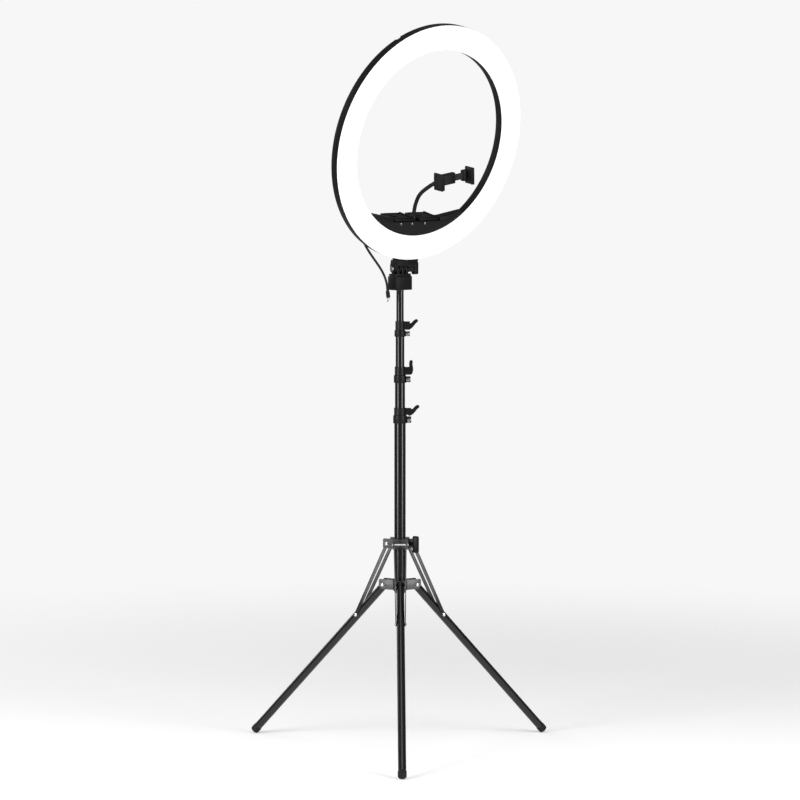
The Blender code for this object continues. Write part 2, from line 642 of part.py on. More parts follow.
def leaf(i, stem_end):
    """Hinge leaf i of the stack: round about the pivot, with a stem to a height."""
    start = -STACK_HALF + i * LEAF_PITCH
    if stem_end > 0:
        outline = arc(LEAF_R, 180, 360, 8) + [(LEAF_R, stem_end), (-LEAF_R, stem_end)]
    else:
        outline = arc(LEAF_R, 0, 180, 8) + [(-LEAF_R, stem_end), (LEAF_R, stem_end)]
    return plate("leaf", outline, start, start + LEAF, "X")


def build_block():
    block = box("socket_block", (-BLOCK_HALF_X, -BLOCK_HALF_Y, BLOCK_BOTTOM),
                (BLOCK_HALF_X, BLOCK_HALF_Y, BLOCK_TOP), 0.0010)
    neck = box("neck", (-STACK_HALF - 0.0004, -0.0100, BLOCK_TOP - 0.003),
               (STACK_HALF + 0.0004, 0.0100, NECK_TOP))
    join(block, neck, *[leaf(i, BLOCK_TOP + 0.001) for i in range(1, LEAF_COUNT, 2)])
    cut(block, rod("bolt_hole", BOLT_R + PIN_GAP, -0.03, 0.03, "X"),
        rod("socket", SECTION_R[2] + SLIDE_GAP, BLOCK_BOTTOM - 0.01, MAST_TOP - PIVOT_Z + GAP, steps=ROUND),
        rod("screw_hole", STEM_R + PIN_GAP, 0.002, 0.03, "Y", (0, -0.0290)))
    finish(block, "plastic_black", HEAD)

    knob = rod("socket_knob", STEM_R, SECTION_R[2] + 2 * GAP, 0.020, "Y")
    grip = rod("grip", 0.0085, BLOCK_HALF_Y + 0.0010, BLOCK_HALF_Y + 0.0110, "Y",
               end_radius=0.0080)
    join(knob, grip)
    finish(knob, "plastic_black", HEAD, (0, 0, -0.0290))


def build_tilt_lock():
    bolt = rod("tilt_bolt", BOLT_R, -STACK_HALF - GAP - BOLT_HEAD / 2, STACK_HALF + 0.0080, "X")
    head = rod("head", BOLT_HEAD_R, -STACK_HALF - GAP - BOLT_HEAD, -STACK_HALF - GAP, "X")
    join(bolt, head)
    finish(bolt, "chrome", HEAD)

    start = STACK_HALF + GAP
    lever = rod("tilt_lever", TILT_HUB_R, start, start + TILT_HUB_LENGTH, "X")
    grip = box("grip", (start + TILT_HUB_LENGTH - 0.0015, -0.0052, -0.0128),
               (start + TILT_HUB_LENGTH + 0.0110, 0.0052, 0.0118), 0.0020)
    join(lever, grip)
    cut(lever, rod("thread", BOLT_R + PIN_GAP, start - 0.001, start + 0.0086, "X"))
    finish(lever, "plastic_black", HEAD)


def build_bracket():
    top = RING_DROP - GAP - 0.0003
    floor_z = LEAF_R + 0.0006
    back = RING_DEPTH - RING_FORWARD + GAP
    bracket = box("ring_bracket", (-BRACKET_HALF_X, BRACKET_FRONT, floor_z),
                  (BRACKET_HALF_X, back + BACK_PLATE, top), 0.0015)
    saddle = box("saddle", (-STACK_HALF, BRACKET_FRONT + 0.004, floor_z + 0.0002),
                 (STACK_HALF, LEAF_R, floor_z + 0.0060))
    spine = box("spine", (-BACK_PLATE_HALF_X, back, floor_z + 0.004),
                (BACK_PLATE_HALF_X, back + BACK_PLATE, RING_DROP + BACK_PLATE_HEIGHT), 0.0015)
    join(bracket, saddle, spine, *[leaf(i, floor_z + 0.003) for i in range(0, LEAF_COUNT, 2)])
    cut(bracket, rod("bolt_hole", BOLT_R + PIN_GAP, -0.03, 0.03, "X"))
    finish(bracket, "satin_black", TILT)


# ---- ring -------------------------------------------------------------------------------------
def build_ring():
    lip, back = -DIFFUSER - GAP, -RING_DEPTH
    edge = 0.0015
    outer, inner, wall = RING_R, OPENING_R, RING_WALL
    shell = turned("ring_shell", [
        (outer, lip), (outer, back + edge), (outer - edge, back), (inner + edge, back),
        (inner, back + edge), (inner, lip), (inner + wall, lip), (inner + wall, back + wall),
        (outer - wall, back + wall), (outer - wall, lip)], RING_STEPS)
    notch = box("notch", (RING_R - 0.0035, -NOTCH_WIDTH / 2, back - 0.01),
                (RING_R + 0.01, NOTCH_WIDTH / 2, back + NOTCH_DEPTH))
    notch.rotation_euler = (0, 0, NOTCH_ANGLE)
    gland_hole = rod("gland_hole", CORD_R + PIN_GAP, back - 0.01, back + 0.01, "Z", CORD_EXIT)
    cut(shell, notch, gland_hole)
    finish(shell, "satin_black", RING)

    fillet, seat = 0.0007, wall + GAP
    out, inn = outer - 0.0002, inner + 0.0002
    diffuser = turned("diffuser", [
        (out, -fillet), (out, -DIFFUSER), (outer - seat, -DIFFUSER), (outer - seat, -DIFFUSER - SKIRT),
        (inner + seat, -DIFFUSER - SKIRT), (inner + seat, -DIFFUSER), (inn, -DIFFUSER),
        (inn, -fillet), (inn + fillet, 0), (out - fillet, 0)], RING_STEPS)
    finish(diffuser, "diffuser", RING)

    bottom = back + wall + GAP
    board = pipe("led_board", outer - BOARD_MARGIN, inner + BOARD_MARGIN, bottom, bottom + BOARD, RING_STEPS)
    cut(board, rod("wire_hole", CORD_R + 0.001, bottom - 0.01, bottom + 0.01, "Z", CORD_EXIT))
    finish(board, "board", RING)


# ---- controls ---------------------------------------------------------------------------------
def segment(radius, inset):
    """The housing's outline: the foot of a disc, with a trough between two sloping horns."""
    tip = CHORD - HORN_RISE + 2 * inset
    reach = math.degrees(math.acos(tip / radius))
    step_x = TROUGH_HALF + inset
    step_y, floor_y = HORN_STEP - CHORD - 1.5 * inset, -CHORD - inset
    return arc(radius, -90 - reach, -90 + reach, 24) + [
        (step_x, step_y), (step_x, floor_y), (-step_x, floor_y), (-step_x, step_y)]


def build_controls():
    back = -RING_DEPTH
    housing = plate("control_housing", segment(OPENING_R - 0.0008, 0.0), back, -HOUSING_FRONT)
    hollow = plate("hollow", segment(OPENING_R - 0.0008 - HOUSING_WALL, HOUSING_WALL),
                   back - 0.01, -HOUSING_FRONT - HOUSING_WALL)
    cut(housing, hollow)
    finish(housing, "plastic_black", RING)

    def trapezoid(inset):
        round_r = 0.010 - inset
        top, bottom = -CHORD - inset, -COVER_BOTTOM + inset
        wide, narrow = COVER_HALF_TOP - inset, COVER_HALF_BOTTOM - inset
        right = ([(wide, top)] + arc(round_r, 0, -60, 3, (wide - round_r, top - 0.012))
                 + arc(round_r, -60, -90, 2, (narrow - round_r, bottom + round_r)))
        return right + [(-x, y) for x, y in reversed(right)]

    front, rear = back - GAP, -COVER_BACK
    cover = plate("control_cover", trapezoid(0.0), rear, front)
    cut(cover, plate("hollow", trapezoid(HOUSING_WALL), rear + HOUSING_WALL, front + 0.01))
    dial_y = -(CHORD + COVER_BOTTOM) / 2
    for x in (-DIAL_X, DIAL_X):
        cut(cover, rod("shaft_hole", SHAFT_R + PIN_GAP, rear - 0.01, rear + 0.01, "Z", (x, dial_y)))
    finish(cover, "plastic_black", RING)

    # seen from behind, so the brightness dial is on the user's right
    for name, x in (("brightness_knob", -DIAL_X), ("colour_knob", DIAL_X)):
        shaft = rod(name, SHAFT_R, rear - 0.004, rear + HOUSING_WALL + 0.004, "Z")
        dial = rod("dial", DIAL_R * 0.9, rear - DIAL_LENGTH - 0.0006, rear - 0.0006, "Z", steps=24,
                   end_radius=DIAL_R)
        mark = box("mark", (-0.0006, DIAL_R * 0.35, rear - DIAL_LENGTH - 0.02),
                   (0.0006, DIAL_R * 1.5, rear - DIAL_LENGTH))
        join(shaft, dial)
        cut(shaft, mark)
        finish(shaft, "plastic_black", RING, (x, dial_y, 0))

    seat = -CHORD + GAP
    for name, left in zip(("left", "right"), PLATE_LEFT_X):
        right, top = left + PLATE_WIDTH, seat + PLATE_THICK
        tray = box(f"battery_plate_{name}", (left, seat, -PLATE_BACK), (right, top, -PLATE_FRONT), 0.0006)
        stop = box("stop", (right - STOP, seat + 0.001, -PLATE_BACK + 0.001),
                   (right, top + STOP_RISE, -PLATE_FRONT - 0.001))
        join(tray, stop)
        latch_x, latch_z = left + 0.0140, -(PLATE_FRONT + PLATE_BACK) / 2
        pocket = LATCH_HALF + PIN_GAP
        cut(tray, box("latch_pocket", (latch_x - pocket, top - LATCH_DROP - GAP, latch_z - pocket),
                      (latch_x + pocket, top + 0.01, latch_z + pocket)))
        finish(tray, "plastic_black", RING)
        depth = LATCH_DROP - 0.0012
        latch = box(f"battery_latch_{name}", (-LATCH_HALF, -depth, -LATCH_HALF),
                    (LATCH_HALF, LATCH_RISE, LATCH_HALF), 0.0004)
        finish(latch, "satin_black", RING, (latch_x, top, latch_z))


# ---- phone holder -----------------------------------------------------------------------------
def build_holder():
    neck_foot = frame("neck_foot", RING, (0, -CHORD, 0))
    points = smooth_route([(0, up, ahead) for up, ahead in NECK_ROUTE], 0.0085)
    neck = as_mesh(wire("gooseneck", points, NECK_R))
    base = rod("base", NECK_BASE_R, GAP, NECK_BASE_RISE + 0.0012, "Y", (0, -NECK_BACK),
               end_radius=NECK_R + 0.0008)
    end = Vector(points[-1])
    lean = (end - Vector(points[-2])).normalized()
    ball = bmesh.new()
    bmesh.ops.create_uvsphere(ball, u_segments=ROUND_SMALL, v_segments=8, radius=BALL_R)
    mesh = bpy.data.meshes.new("ball")
    ball.to_mesh(mesh)
    ball.free()
    knuckle = solid("ball", mesh)
    centre = end + lean * BALL_R * 0.8
    knuckle.location = centre
    join(neck, base, knuckle)
    finish(neck, "satin_black", neck_foot)

    # the holder's own axes: X to the right, Y up, Z towards the phone
    holder = frame("holder", neck_foot, centre, (CLAMP_TILT, 0, CLAMP_ROLL))
    socket = BALL_R + 0.0004
    back = socket - 0.0030
    front = back + BAR_THICK
    left = -JAW_GAP / 2
    body = box("phone_clamp_body", (left - JAW_WALL, -BAR_HALF, back), (BAR_RIGHT, BAR_HALF, front), 0.0010)
    cheek = rod("cup", socket + 0.0022, -0.0010, back + 0.0030, "Z")
    jaw = box("jaw", (left - JAW_WALL, -JAW_HALF_HEIGHT, back), (left, JAW_HALF_HEIGHT, front + JAW_DEPTH),
              0.0012)
    lip = box("lip", (left - 0.0010, -JAW_HALF_HEIGHT + 0.0008, front + JAW_DEPTH - 0.0030),
              (left + LIP, JAW_HALF_HEIGHT - 0.0008, front + JAW_DEPTH - 0.0004), 0.0008)
    rail_low = front - 0.0020 - RAIL_THICK
    channel = box("channel", (left + 0.0050, -RAIL_HALF - SLIDE_GAP, rail_low - SLIDE_GAP),
                  (BAR_RIGHT + 0.01, RAIL_HALF + SLIDE_GAP, rail_low + RAIL_THICK + SLIDE_GAP))
    hollow = bmesh.new()
    bmesh.ops.create_uvsphere(hollow, u_segments=ROUND_SMALL, v_segments=8, radius=socket)
    mesh = bpy.data.meshes.new("socket")
    hollow.to_mesh(mesh)
    hollow.free()
    join(body, cheek, jaw, lip)
    cut(body, channel, solid("socket", mesh))
    finish(body, "plastic_black", holder)

    right = JAW_GAP / 2
    rail = box("phone_clamp_jaw", (left + 0.0190, -RAIL_HALF, rail_low),
               (right + 0.002, RAIL_HALF, rail_low + RAIL_THICK))
    carrier = box("carrier", (right - 0.0110, -BAR_HALF, back), (right + JAW_WALL, BAR_HALF, front), 0.0010)
    jaw = box("jaw", (right, -JAW_HALF_HEIGHT, back), (right + JAW_WALL, JAW_HALF_HEIGHT, front + JAW_DEPTH),
              0.0012)
    lip = box("lip", (right - LIP, -JAW_HALF_HEIGHT + 0.0008, front + JAW_DEPTH - 0.0030),
              (right + 0.0010, JAW_HALF_HEIGHT - 0.0008, front + JAW_DEPTH - 0.0004), 0.0008)
    join(rail, carrier, jaw, lip)
    finish(rail, "plastic_black", holder)


# ---- cord -------------------------------------------------------------------------------------
def build_relief():
    back = -RING_DEPTH
    relief = rod("strain_relief", GLAND_R * 0.7, back - GLAND_LENGTH, back - GAP, "Z",
                 end_radius=GLAND_R)
    cut(relief, rod("relief_bore", CORD_R + PIN_GAP, back - 0.02, back + 0.01, "Z"))
    finish(relief, "rubber", RING, (*CORD_EXIT, 0))


def build_cord():
    points = smooth_route(CORD_ROUTE, CORD_SPACING)
    cord = wire("power_cord", points, CORD_R, 2)
    cord.parent = ASSEMBLY
    cord.data.materials.append(paint("plastic_black"))

    end = points[-1]
    lean = (points[-1] - points[-2]).normalized()
    plug = turned("dc_plug", [
        (0, 0), (CORD_R + 0.0006, 0), (PLUG_R, -0.0050), (PLUG_R, -PLUG_LENGTH * 0.62),
        (0.00275, -PLUG_LENGTH * 0.62), (0.00275, -PLUG_LENGTH), (0.00105, -PLUG_LENGTH),
        (0.00105, -PLUG_LENGTH * 0.70), (0, -PLUG_LENGTH * 0.70)], ROUND_SMALL, loop=False)
    turn = Vector((0, 0, -1)).rotation_difference(lean).to_euler()
    finish(plug, "plastic_black", ASSEMBLY, end + lean * GAP, turn)


def centre_on_origin():
    """Moves the whole object so that the middle of its box, without the cord, is on the Z axis."""
    bpy.context.view_layer.update()
    graph = bpy.context.evaluated_depsgraph_get()
    low, high = Vector((9, 9, 9)), Vector((-9, -9, -9))
    on_cord = ("power_cord", "dc_plug", "strain_relief")
    for obj in PARTS.objects:
        if obj.type == "EMPTY" or obj.name in on_cord:
            continue
        shape = obj.evaluated_get(graph)
        mesh = shape.to_mesh()
        for vertex in mesh.vertices:
            place = shape.matrix_world @ vertex.co
            low = Vector(map(min, low, place))
            high = Vector(map(max, high, place))
        shape.to_mesh_clear()
    ASSEMBLY.location = (-(low.x + high.x) / 2, -(low.y + high.y) / 2, 0)
    bpy.context.view_layer.update()


build_tubes()
for clamp_index in range(len(CLAMP_NAMES)):
    build_clamp(clamp_index)
build_hub()
build_collar()
build_collar_knob()
for leg_index in range(LEG_COUNT):
    build_leg(leg_index)
build_block()
build_tilt_lock()
build_bracket()
build_ring()
build_controls()
build_holder()
build_relief()
build_cord()
centre_on_origin()
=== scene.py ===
"""Looks for the ring light on its telescopic stand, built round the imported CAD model."""
import json
import math

import bmesh
import bpy
from mathutils import Matrix, Vector


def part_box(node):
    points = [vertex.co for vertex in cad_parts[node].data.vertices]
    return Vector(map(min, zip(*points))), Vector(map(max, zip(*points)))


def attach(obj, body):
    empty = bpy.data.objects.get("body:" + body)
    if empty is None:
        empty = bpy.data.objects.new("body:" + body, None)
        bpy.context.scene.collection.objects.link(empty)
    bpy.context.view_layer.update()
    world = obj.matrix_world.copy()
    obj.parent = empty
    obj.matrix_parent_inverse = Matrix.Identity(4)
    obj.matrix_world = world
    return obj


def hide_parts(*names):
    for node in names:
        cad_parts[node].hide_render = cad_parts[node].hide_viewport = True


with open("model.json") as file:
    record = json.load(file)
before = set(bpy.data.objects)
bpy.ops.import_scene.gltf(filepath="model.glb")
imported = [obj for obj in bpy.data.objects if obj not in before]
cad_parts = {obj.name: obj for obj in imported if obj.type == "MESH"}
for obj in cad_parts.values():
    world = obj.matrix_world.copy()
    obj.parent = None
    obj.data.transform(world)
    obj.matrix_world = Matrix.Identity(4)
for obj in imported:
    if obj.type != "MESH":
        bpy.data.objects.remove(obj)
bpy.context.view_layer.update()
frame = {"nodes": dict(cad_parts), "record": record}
NODES = frame["nodes"]

# ---- the object's own axes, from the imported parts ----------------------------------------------
GAP = 0.0003
STAND_TURN = math.radians(-41.1)
RING_TILT = math.radians(14.0)
HOLDER_TILT, HOLDER_ROLL = math.radians(-5.0), math.radians(9.0)
PIVOT_Z = 0.9345
FACE_AHEAD, CENTRE_UP = 0.0270, 0.2550     # ring's face from the tilt pivot
RING_R, OPENING_R, RING_DEPTH = 0.2300, 0.1820, 0.0190
CHORD = 0.1545
SIDES = ("front", "right", "left")
CLAMPS = ("lower", "middle", "upper")


def middle(node):
    low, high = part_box(node)
    return (low + high) / 2


def shift(*xyz):
    return Matrix.Translation(xyz)


def turn(angle, axis):
    return Matrix.Rotation(angle, 4, axis)


MAST = middle("mast_section_4")
ASSEMBLY = shift(MAST.x, MAST.y, 0)
STAND = ASSEMBLY @ turn(STAND_TURN, "Z")
HEAD = ASSEMBLY @ shift(0, 0, PIVOT_Z)
TILT = HEAD @ turn(RING_TILT, "X")
RING = TILT @ shift(0, -FACE_AHEAD, CENTRE_UP) @ turn(math.pi / 2, "X")
NECK = RING @ shift(0, -CHORD, 0)

# ---- camera ------------------------------------------------------------------------------------
CAMERA_DISTANCE, CAMERA_HEIGHT = 7.054, 1.2962
CAMERA_TURN = math.radians(-41.82)
CAMERA_PITCH = math.radians(4.994)
camera_data = bpy.data.cameras.new("camera")
camera_data.lens = 164.82
camera_data.sensor_width = 36.0
camera = bpy.data.objects.new("camera", camera_data)
bpy.context.scene.collection.objects.link(camera)
ahead = Vector((-math.sin(CAMERA_TURN), math.cos(CAMERA_TURN), 0))
camera.location = Vector((MAST.x, MAST.y, CAMERA_HEIGHT)) - ahead * CAMERA_DISTANCE
camera.rotation_euler = (math.pi / 2 - CAMERA_PITCH, 0, CAMERA_TURN)
bpy.context.scene.camera = camera


# ---- materials ---------------------------------------------------------------------------------
class Nodes:
    """A small builder for one Principled material."""

    def __init__(self, name, colour, roughness, metallic=0.0):
        self.material = bpy.data.materials.new(name)
        self.material.use_nodes = True
        self.tree = self.material.node_tree
        self.shader = self.tree.nodes["Principled BSDF"]
        self.set("Base Color", (*colour, 1.0))
        self.set("Roughness", roughness)
        self.set("Metallic", metallic)
        self.colour, self.roughness = colour, roughness
        self.height = None

    def set(self, socket, value):
        self.shader.inputs[socket].default_value = value
        return self

    def add(self, kind, **values):
        node = self.tree.nodes.new(kind)
        for key, value in values.items():
            if key in node.inputs:
                node.inputs[key].default_value = value
            else:
                setattr(node, key, value)
        return node

    def link(self, a, b):
        self.tree.links.new(a, b)

    def noise(self, scale, detail=2.0, rough=0.5, stretch=(1, 1, 1)):
        place = self.add("ShaderNodeTexCoord")
        mapping = self.add("ShaderNodeMapping")
        mapping.inputs["Scale"].default_value = stretch
        self.link(place.outputs["Object"], mapping.inputs["Vector"])
        noise = self.add("ShaderNodeTexNoise")
        noise.inputs["Scale"].default_value = scale
        noise.inputs["Detail"].default_value = detail
        noise.inputs["Roughness"].default_value = rough
        self.link(mapping.outputs["Vector"], noise.inputs["Vector"])
        return noise.outputs["Fac"]

    def spread(self, value, low, high, start=0.3, end=0.7):
        node = self.add("ShaderNodeMapRange")
        node.inputs["From Min"].default_value = start
        node.inputs["From Max"].default_value = end
        node.inputs["To Min"].default_value = low
        node.inputs["To Max"].default_value = high
        self.link(value, node.inputs["Value"])
        return node.outputs["Result"]

    def vary_roughness(self, value, amount):
        self.link(self.spread(value, self.roughness - amount, self.roughness + amount),
                  self.shader.inputs["Roughness"])
        return self

    def vary_colour(self, value, dark, light):
        ramp = self.add("ShaderNodeValToRGB")
        ramp.color_ramp.elements[0].position = 0.3
        ramp.color_ramp.elements[1].position = 0.7
        ramp.color_ramp.elements[0].color = (*[c * dark for c in self.colour], 1.0)
        ramp.color_ramp.elements[1].color = (*[min(1.0, c * light) for c in self.colour], 1.0)
        self.link(value, ramp.inputs["Fac"])
        self.link(ramp.outputs["Color"], self.shader.inputs["Base Color"])
        return self

    def bump(self, value, strength, distance):
        node = self.add("ShaderNodeBump")
        node.inputs["Strength"].default_value = strength
        node.inputs["Distance"].default_value = distance
        self.link(value, node.inputs["Height"])
        if self.height is not None:
            self.link(self.height.outputs["Normal"], node.inputs["Normal"])
        self.height = node
        self.link(node.outputs["Normal"], self.shader.inputs["Normal"])
        return self


def gloss_paint():
    m = Nodes("tube_black", (0.003, 0.003, 0.0033), 0.20)
    m.set("Specular IOR Level", 0.5)
    m.vary_roughness(m.noise(60, 4), 0.05)
    m.vary_colour(m.noise(9, 3), 0.8, 1.35)
    m.bump(m.noise(700, 2), 0.05, 0.0002)
    return m.material


def moulded(name, colour, roughness, grain=1600, strength=0.35):
    m = Nodes(name, colour, roughness)
    m.set("Specular IOR Level", 0.22)
    m.vary_roughness(m.noise(25, 4), 0.06)
    m.vary_colour(m.noise(14, 5), 0.82, 1.25)
    m.bump(m.noise(180, 2), 0.12, 0.0002)
    m.bump(m.noise(grain, 3, 0.6), strength, 0.00012)
    return m.material


def rubber():
    m = Nodes("rubber_black", (0.006, 0.006, 0.006), 0.70)
    m.set("Specular IOR Level", 0.3)
    m.vary_roughness(m.noise(40, 5), 0.08)
    m.vary_colour(m.noise(70, 5), 0.75, 1.6)
    m.bump(m.noise(900, 4, 0.7), 0.5, 0.0002)
    return m.material


# Brace tone by distance from the mast (radius, level): dark close to the mast, grey over the strips, then
# painted shade darkening their lower ends.
BRACE_GREY_AND_SHADE = ((0.0, 0.010), (0.0136, 0.010), (0.0145, 0.080), (0.070, 0.080), (0.083, 0.012))   # radius, level


def gunmetal():
    """Blackened steel, grey where it stands clear of the mast and darker close to it, with painted shade
    darkening the strips' lower ends.
    """
    m = Nodes("gunmetal", (0.045, 0.045, 0.046), 0.42, 0.5)
    m.vary_roughness(m.noise(420, 3, 0.6, (1, 1, 0.12)), 0.08)
    m.bump(m.noise(1300, 3, 0.6, (1, 1, 0.15)), 0.18, 0.0001)
    place = m.add("ShaderNodeTexCoord")
    centre = m.add("ShaderNodeVectorMath")
    centre.operation = "SUBTRACT"
    centre.inputs[1].default_value = (MAST.x, MAST.y, 0)
    flat = m.add("ShaderNodeVectorMath")
    flat.operation = "MULTIPLY"
    flat.inputs[1].default_value = (1, 1, 0)
    reach = m.add("ShaderNodeVectorMath")
    reach.operation = "LENGTH"
    # Grey by distance from the mast; its dark outer end is painted shade on the strips' lower ends, and
    # random noise scales it.
    ramp = m.add("ShaderNodeValToRGB")
    while len(ramp.color_ramp.elements) < len(BRACE_GREY_AND_SHADE):
        ramp.color_ramp.elements.new(0.5)
    for element, (radius, level) in zip(ramp.color_ramp.elements, BRACE_GREY_AND_SHADE):
        element.position = radius * 10
        element.color = (level, level, level * 1.03, 1.0)
    mottled_shade = m.add("ShaderNodeVectorMath")
    mottled_shade.operation = "SCALE"
    m.link(place.outputs["Object"], centre.inputs[0])
    m.link(centre.outputs["Vector"], flat.inputs[0])
    m.link(flat.outputs["Vector"], reach.inputs[0])
    tenfold = m.add("ShaderNodeMath", operation="MULTIPLY")
    tenfold.inputs[1].default_value = 10.0
    m.link(reach.outputs["Value"], tenfold.inputs[0])
    m.link(tenfold.outputs["Value"], ramp.inputs["Fac"])
    m.link(ramp.outputs["Color"], mottled_shade.inputs[0])
    m.link(m.spread(m.noise(30, 4), 0.85, 1.15), mottled_shade.inputs["Scale"])
    m.link(mottled_shade.outputs["Vector"], m.shader.inputs["Base Color"])
    return m.material


def polished():
    m = Nodes("chrome", (0.80, 0.80, 0.81), 0.14, 1.0)
    m.vary_roughness(m.noise(500, 4), 0.05)
    m.vary_colour(m.noise(120, 3), 0.92, 1.03)
    m.bump(m.noise(900, 2), 0.04, 0.0001)
    return m.material


def dark_steel():
    m = Nodes("screw_steel", (0.30, 0.30, 0.31), 0.28, 1.0)
    m.vary_roughness(m.noise(700, 3), 0.07)
    m.vary_colour(m.noise(200, 3), 0.8, 1.15)
    return m.material


def lit_diffuser():
    m = Nodes("diffuser_white", (0.90, 0.90, 0.89), 0.42)
    m.set("Emission Color", (1.0, 1.0, 0.99, 1.0)).set("Emission Strength", 0.22)
    m.set("Subsurface Weight", 0.15).set("Subsurface Scale", 0.004)
    m.vary_colour(m.noise(11, 3), 0.985, 1.01)
    m.vary_roughness(m.noise(90, 3), 0.04)
    m.bump(m.noise(1500, 2), 0.06, 0.0001)
    return m.material


def solder_mask():
    m = Nodes("board_white", (0.85, 0.85, 0.83), 0.5)
    m.vary_colour(m.noise(300, 2), 0.93, 1.0)
    m.bump(m.noise(1200, 2), 0.1, 0.0001)
    return m.material


def marking():
    m = Nodes("dial_mark", (0.75, 0.75, 0.74), 0.5)
    m.vary_colour(m.noise(700, 3), 0.9, 1.05)
    return m.material


MATERIAL = {
    "tube_black": gloss_paint(),
    "bracket_black": moulded("bracket_black", (0.0045, 0.0045, 0.0048), 0.42, 2200, 0.2),
    "plastic_black": moulded("plastic_black", (0.0045, 0.0045, 0.0048), 0.44),
    "shell_black": moulded("shell_black", (0.0045, 0.0045, 0.0048), 0.38, 2000, 0.22),
    "cord_black": moulded("cord_black", (0.008, 0.008, 0.0085), 0.5, 2600, 0.25),
    "rubber_black": rubber(),
    "gunmetal": gunmetal(),
    "chrome": polished(),
    "diffuser_white": lit_diffuser(),
    "board_white": solder_mask(),
}
MARK = marking()
SCREW = dark_steel()
SLOT_OF = {s["node"]: s["material_slot"] for s in frame["record"]["subparts"]}


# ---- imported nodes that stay: welded, rounded at their edges, shaded by angle ----------------------
def shade_group():
    """Welds a mesh and shades it smooth, apart from edges over 32 degrees."""
    group = bpy.data.node_groups.new("weld_and_shade", "GeometryNodeTree")
    group.interface.new_socket("Geometry", in_out="INPUT", socket_type="NodeSocketGeometry")
    group.interface.new_socket("Geometry", in_out="OUTPUT", socket_type="NodeSocketGeometry")
    start = group.nodes.new("NodeGroupInput")
    weld = group.nodes.new("GeometryNodeMergeByDistance")
    weld.inputs["Distance"].default_value = 2e-6
    smooth = group.nodes.new("GeometryNodeSetShadeSmooth")
    smooth.domain = "FACE"
    sharp = group.nodes.new("GeometryNodeSetShadeSmooth")
    sharp.domain = "EDGE"
    sharp.inputs["Shade Smooth"].default_value = False
    angle = group.nodes.new("GeometryNodeInputMeshEdgeAngle")
    compare = group.nodes.new("FunctionNodeCompare")
    compare.data_type = "FLOAT"
    compare.operation = "GREATER_THAN"
    compare.inputs["B"].default_value = math.radians(32)
    end = group.nodes.new("NodeGroupOutput")
    links = group.links
    links.new(start.outputs[0], weld.inputs["Geometry"])
    links.new(weld.outputs["Geometry"], smooth.inputs["Geometry"])
    links.new(smooth.outputs["Geometry"], sharp.inputs["Geometry"])
    links.new(angle.outputs["Unsigned Angle"], compare.inputs["A"])
    links.new(compare.outputs["Result"], sharp.inputs["Selection"])
    links.new(sharp.outputs["Geometry"], end.inputs[0])
    return group


SHADE = shade_group()


def dress(node, edge=0.0):
    """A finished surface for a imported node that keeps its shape."""
    obj = NODES[node]
    mesh = obj.data
    custom = mesh.attributes.get("custom_normal")
    if custom:
        mesh.attributes.remove(custom)
    mesh.materials.clear()
    mesh.materials.append(MATERIAL[SLOT_OF[node]])
    weld = obj.modifiers.new("weld", "WELD")
    weld.merge_threshold = 2e-6
    if edge:
        bevel = obj.modifiers.new("edges", "BEVEL")
        bevel.width = edge
        bevel.segments = 2
        bevel.limit_method = "ANGLE"
        bevel.angle_limit = math.radians(40)
        bevel.use_clamp_overlap = True
    shade = obj.modifiers.new("shade", "NODES")
    shade.node_group = SHADE


# ---- new pieces ----------------------------------------------------------------------------------
def piece(name, mesh, material, body, replaces=(), matrix=None, smooth=32):
    """A mesh as a piece of the object, riding on a body."""
    if smooth:
        mesh.shade_smooth()
        mesh.set_sharp_from_angle(angle=math.radians(smooth))
    obj = bpy.data.objects.new(name, mesh)
    bpy.context.scene.collection.objects.link(obj)
    mesh.materials.clear()
    mesh.materials.append(material)
    if matrix is not None:
        obj.matrix_world = matrix
    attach(obj, body)
    if replaces:
        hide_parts(*replaces)
    return obj


def lathe_mesh(name, profile, steps=64, closed=True, ribs=None):
    """Turns (radius, height) points about Z.

    ribs is (count, depth, low, high): grooves round it between two heights.
    """
    bm = bmesh.new()
    rings = []
    for r, z in profile:
        if r < 1e-7:
            rings.append([bm.verts.new((0, 0, z))])
            continue
        ring = []
        for i in range(steps):
            a = math.tau * i / steps
            radius = r
            if ribs and ribs[2] <= z <= ribs[3]:
                radius -= ribs[1] * (0.5 + 0.5 * math.cos(a * ribs[0]))
            ring.append(bm.verts.new((radius * math.cos(a), radius * math.sin(a), z)))
        rings.append(ring)
    pairs = list(zip(rings, rings[1:]))
    if closed:
        pairs.append((rings[-1], rings[0]))
    for a, b in pairs:
        for i in range(steps):
            j = (i + 1) % steps
            if len(a) == 1 and len(b) == 1:
                continue
            if len(a) == 1:
                bm.faces.new((a[0], b[j], b[i]))
            elif len(b) == 1:
                bm.faces.new((a[i], a[j], b[0]))
            else:
                bm.faces.new((a[i], a[j], b[j], b[i]))
    bmesh.ops.recalc_face_normals(bm, faces=bm.faces)
    mesh = bpy.data.meshes.new(name)
    bm.to_mesh(mesh)
    bm.free()
    return mesh


def rounded_box(name, low, high, edge, segments=3):
    bm = bmesh.new()
    bmesh.ops.create_cube(bm, size=1.0)
    low, high = Vector(low), Vector(high)
    bmesh.ops.scale(bm, vec=high - low, verts=bm.verts)
    bmesh.ops.translate(bm, vec=(low + high) / 2, verts=bm.verts)
    bmesh.ops.bevel(bm, geom=bm.edges[:], offset=edge, segments=segments, affect="EDGES", profile=0.5)
    mesh = bpy.data.meshes.new(name)
    bm.to_mesh(mesh)
    bm.free()
    return mesh


def merge(name, meshes):
    """One mesh from several (mesh, matrix) pairs."""
    bm = bmesh.new()
    for mesh, matrix in meshes:
        start = len(bm.verts)
        bm.from_mesh(mesh)
        bm.verts.ensure_lookup_table()
        bmesh.ops.transform(bm, matrix=matrix, verts=bm.verts[start:])
    out = bpy.data.meshes.new(name)
    bm.to_mesh(out)
    bm.free()
    return out


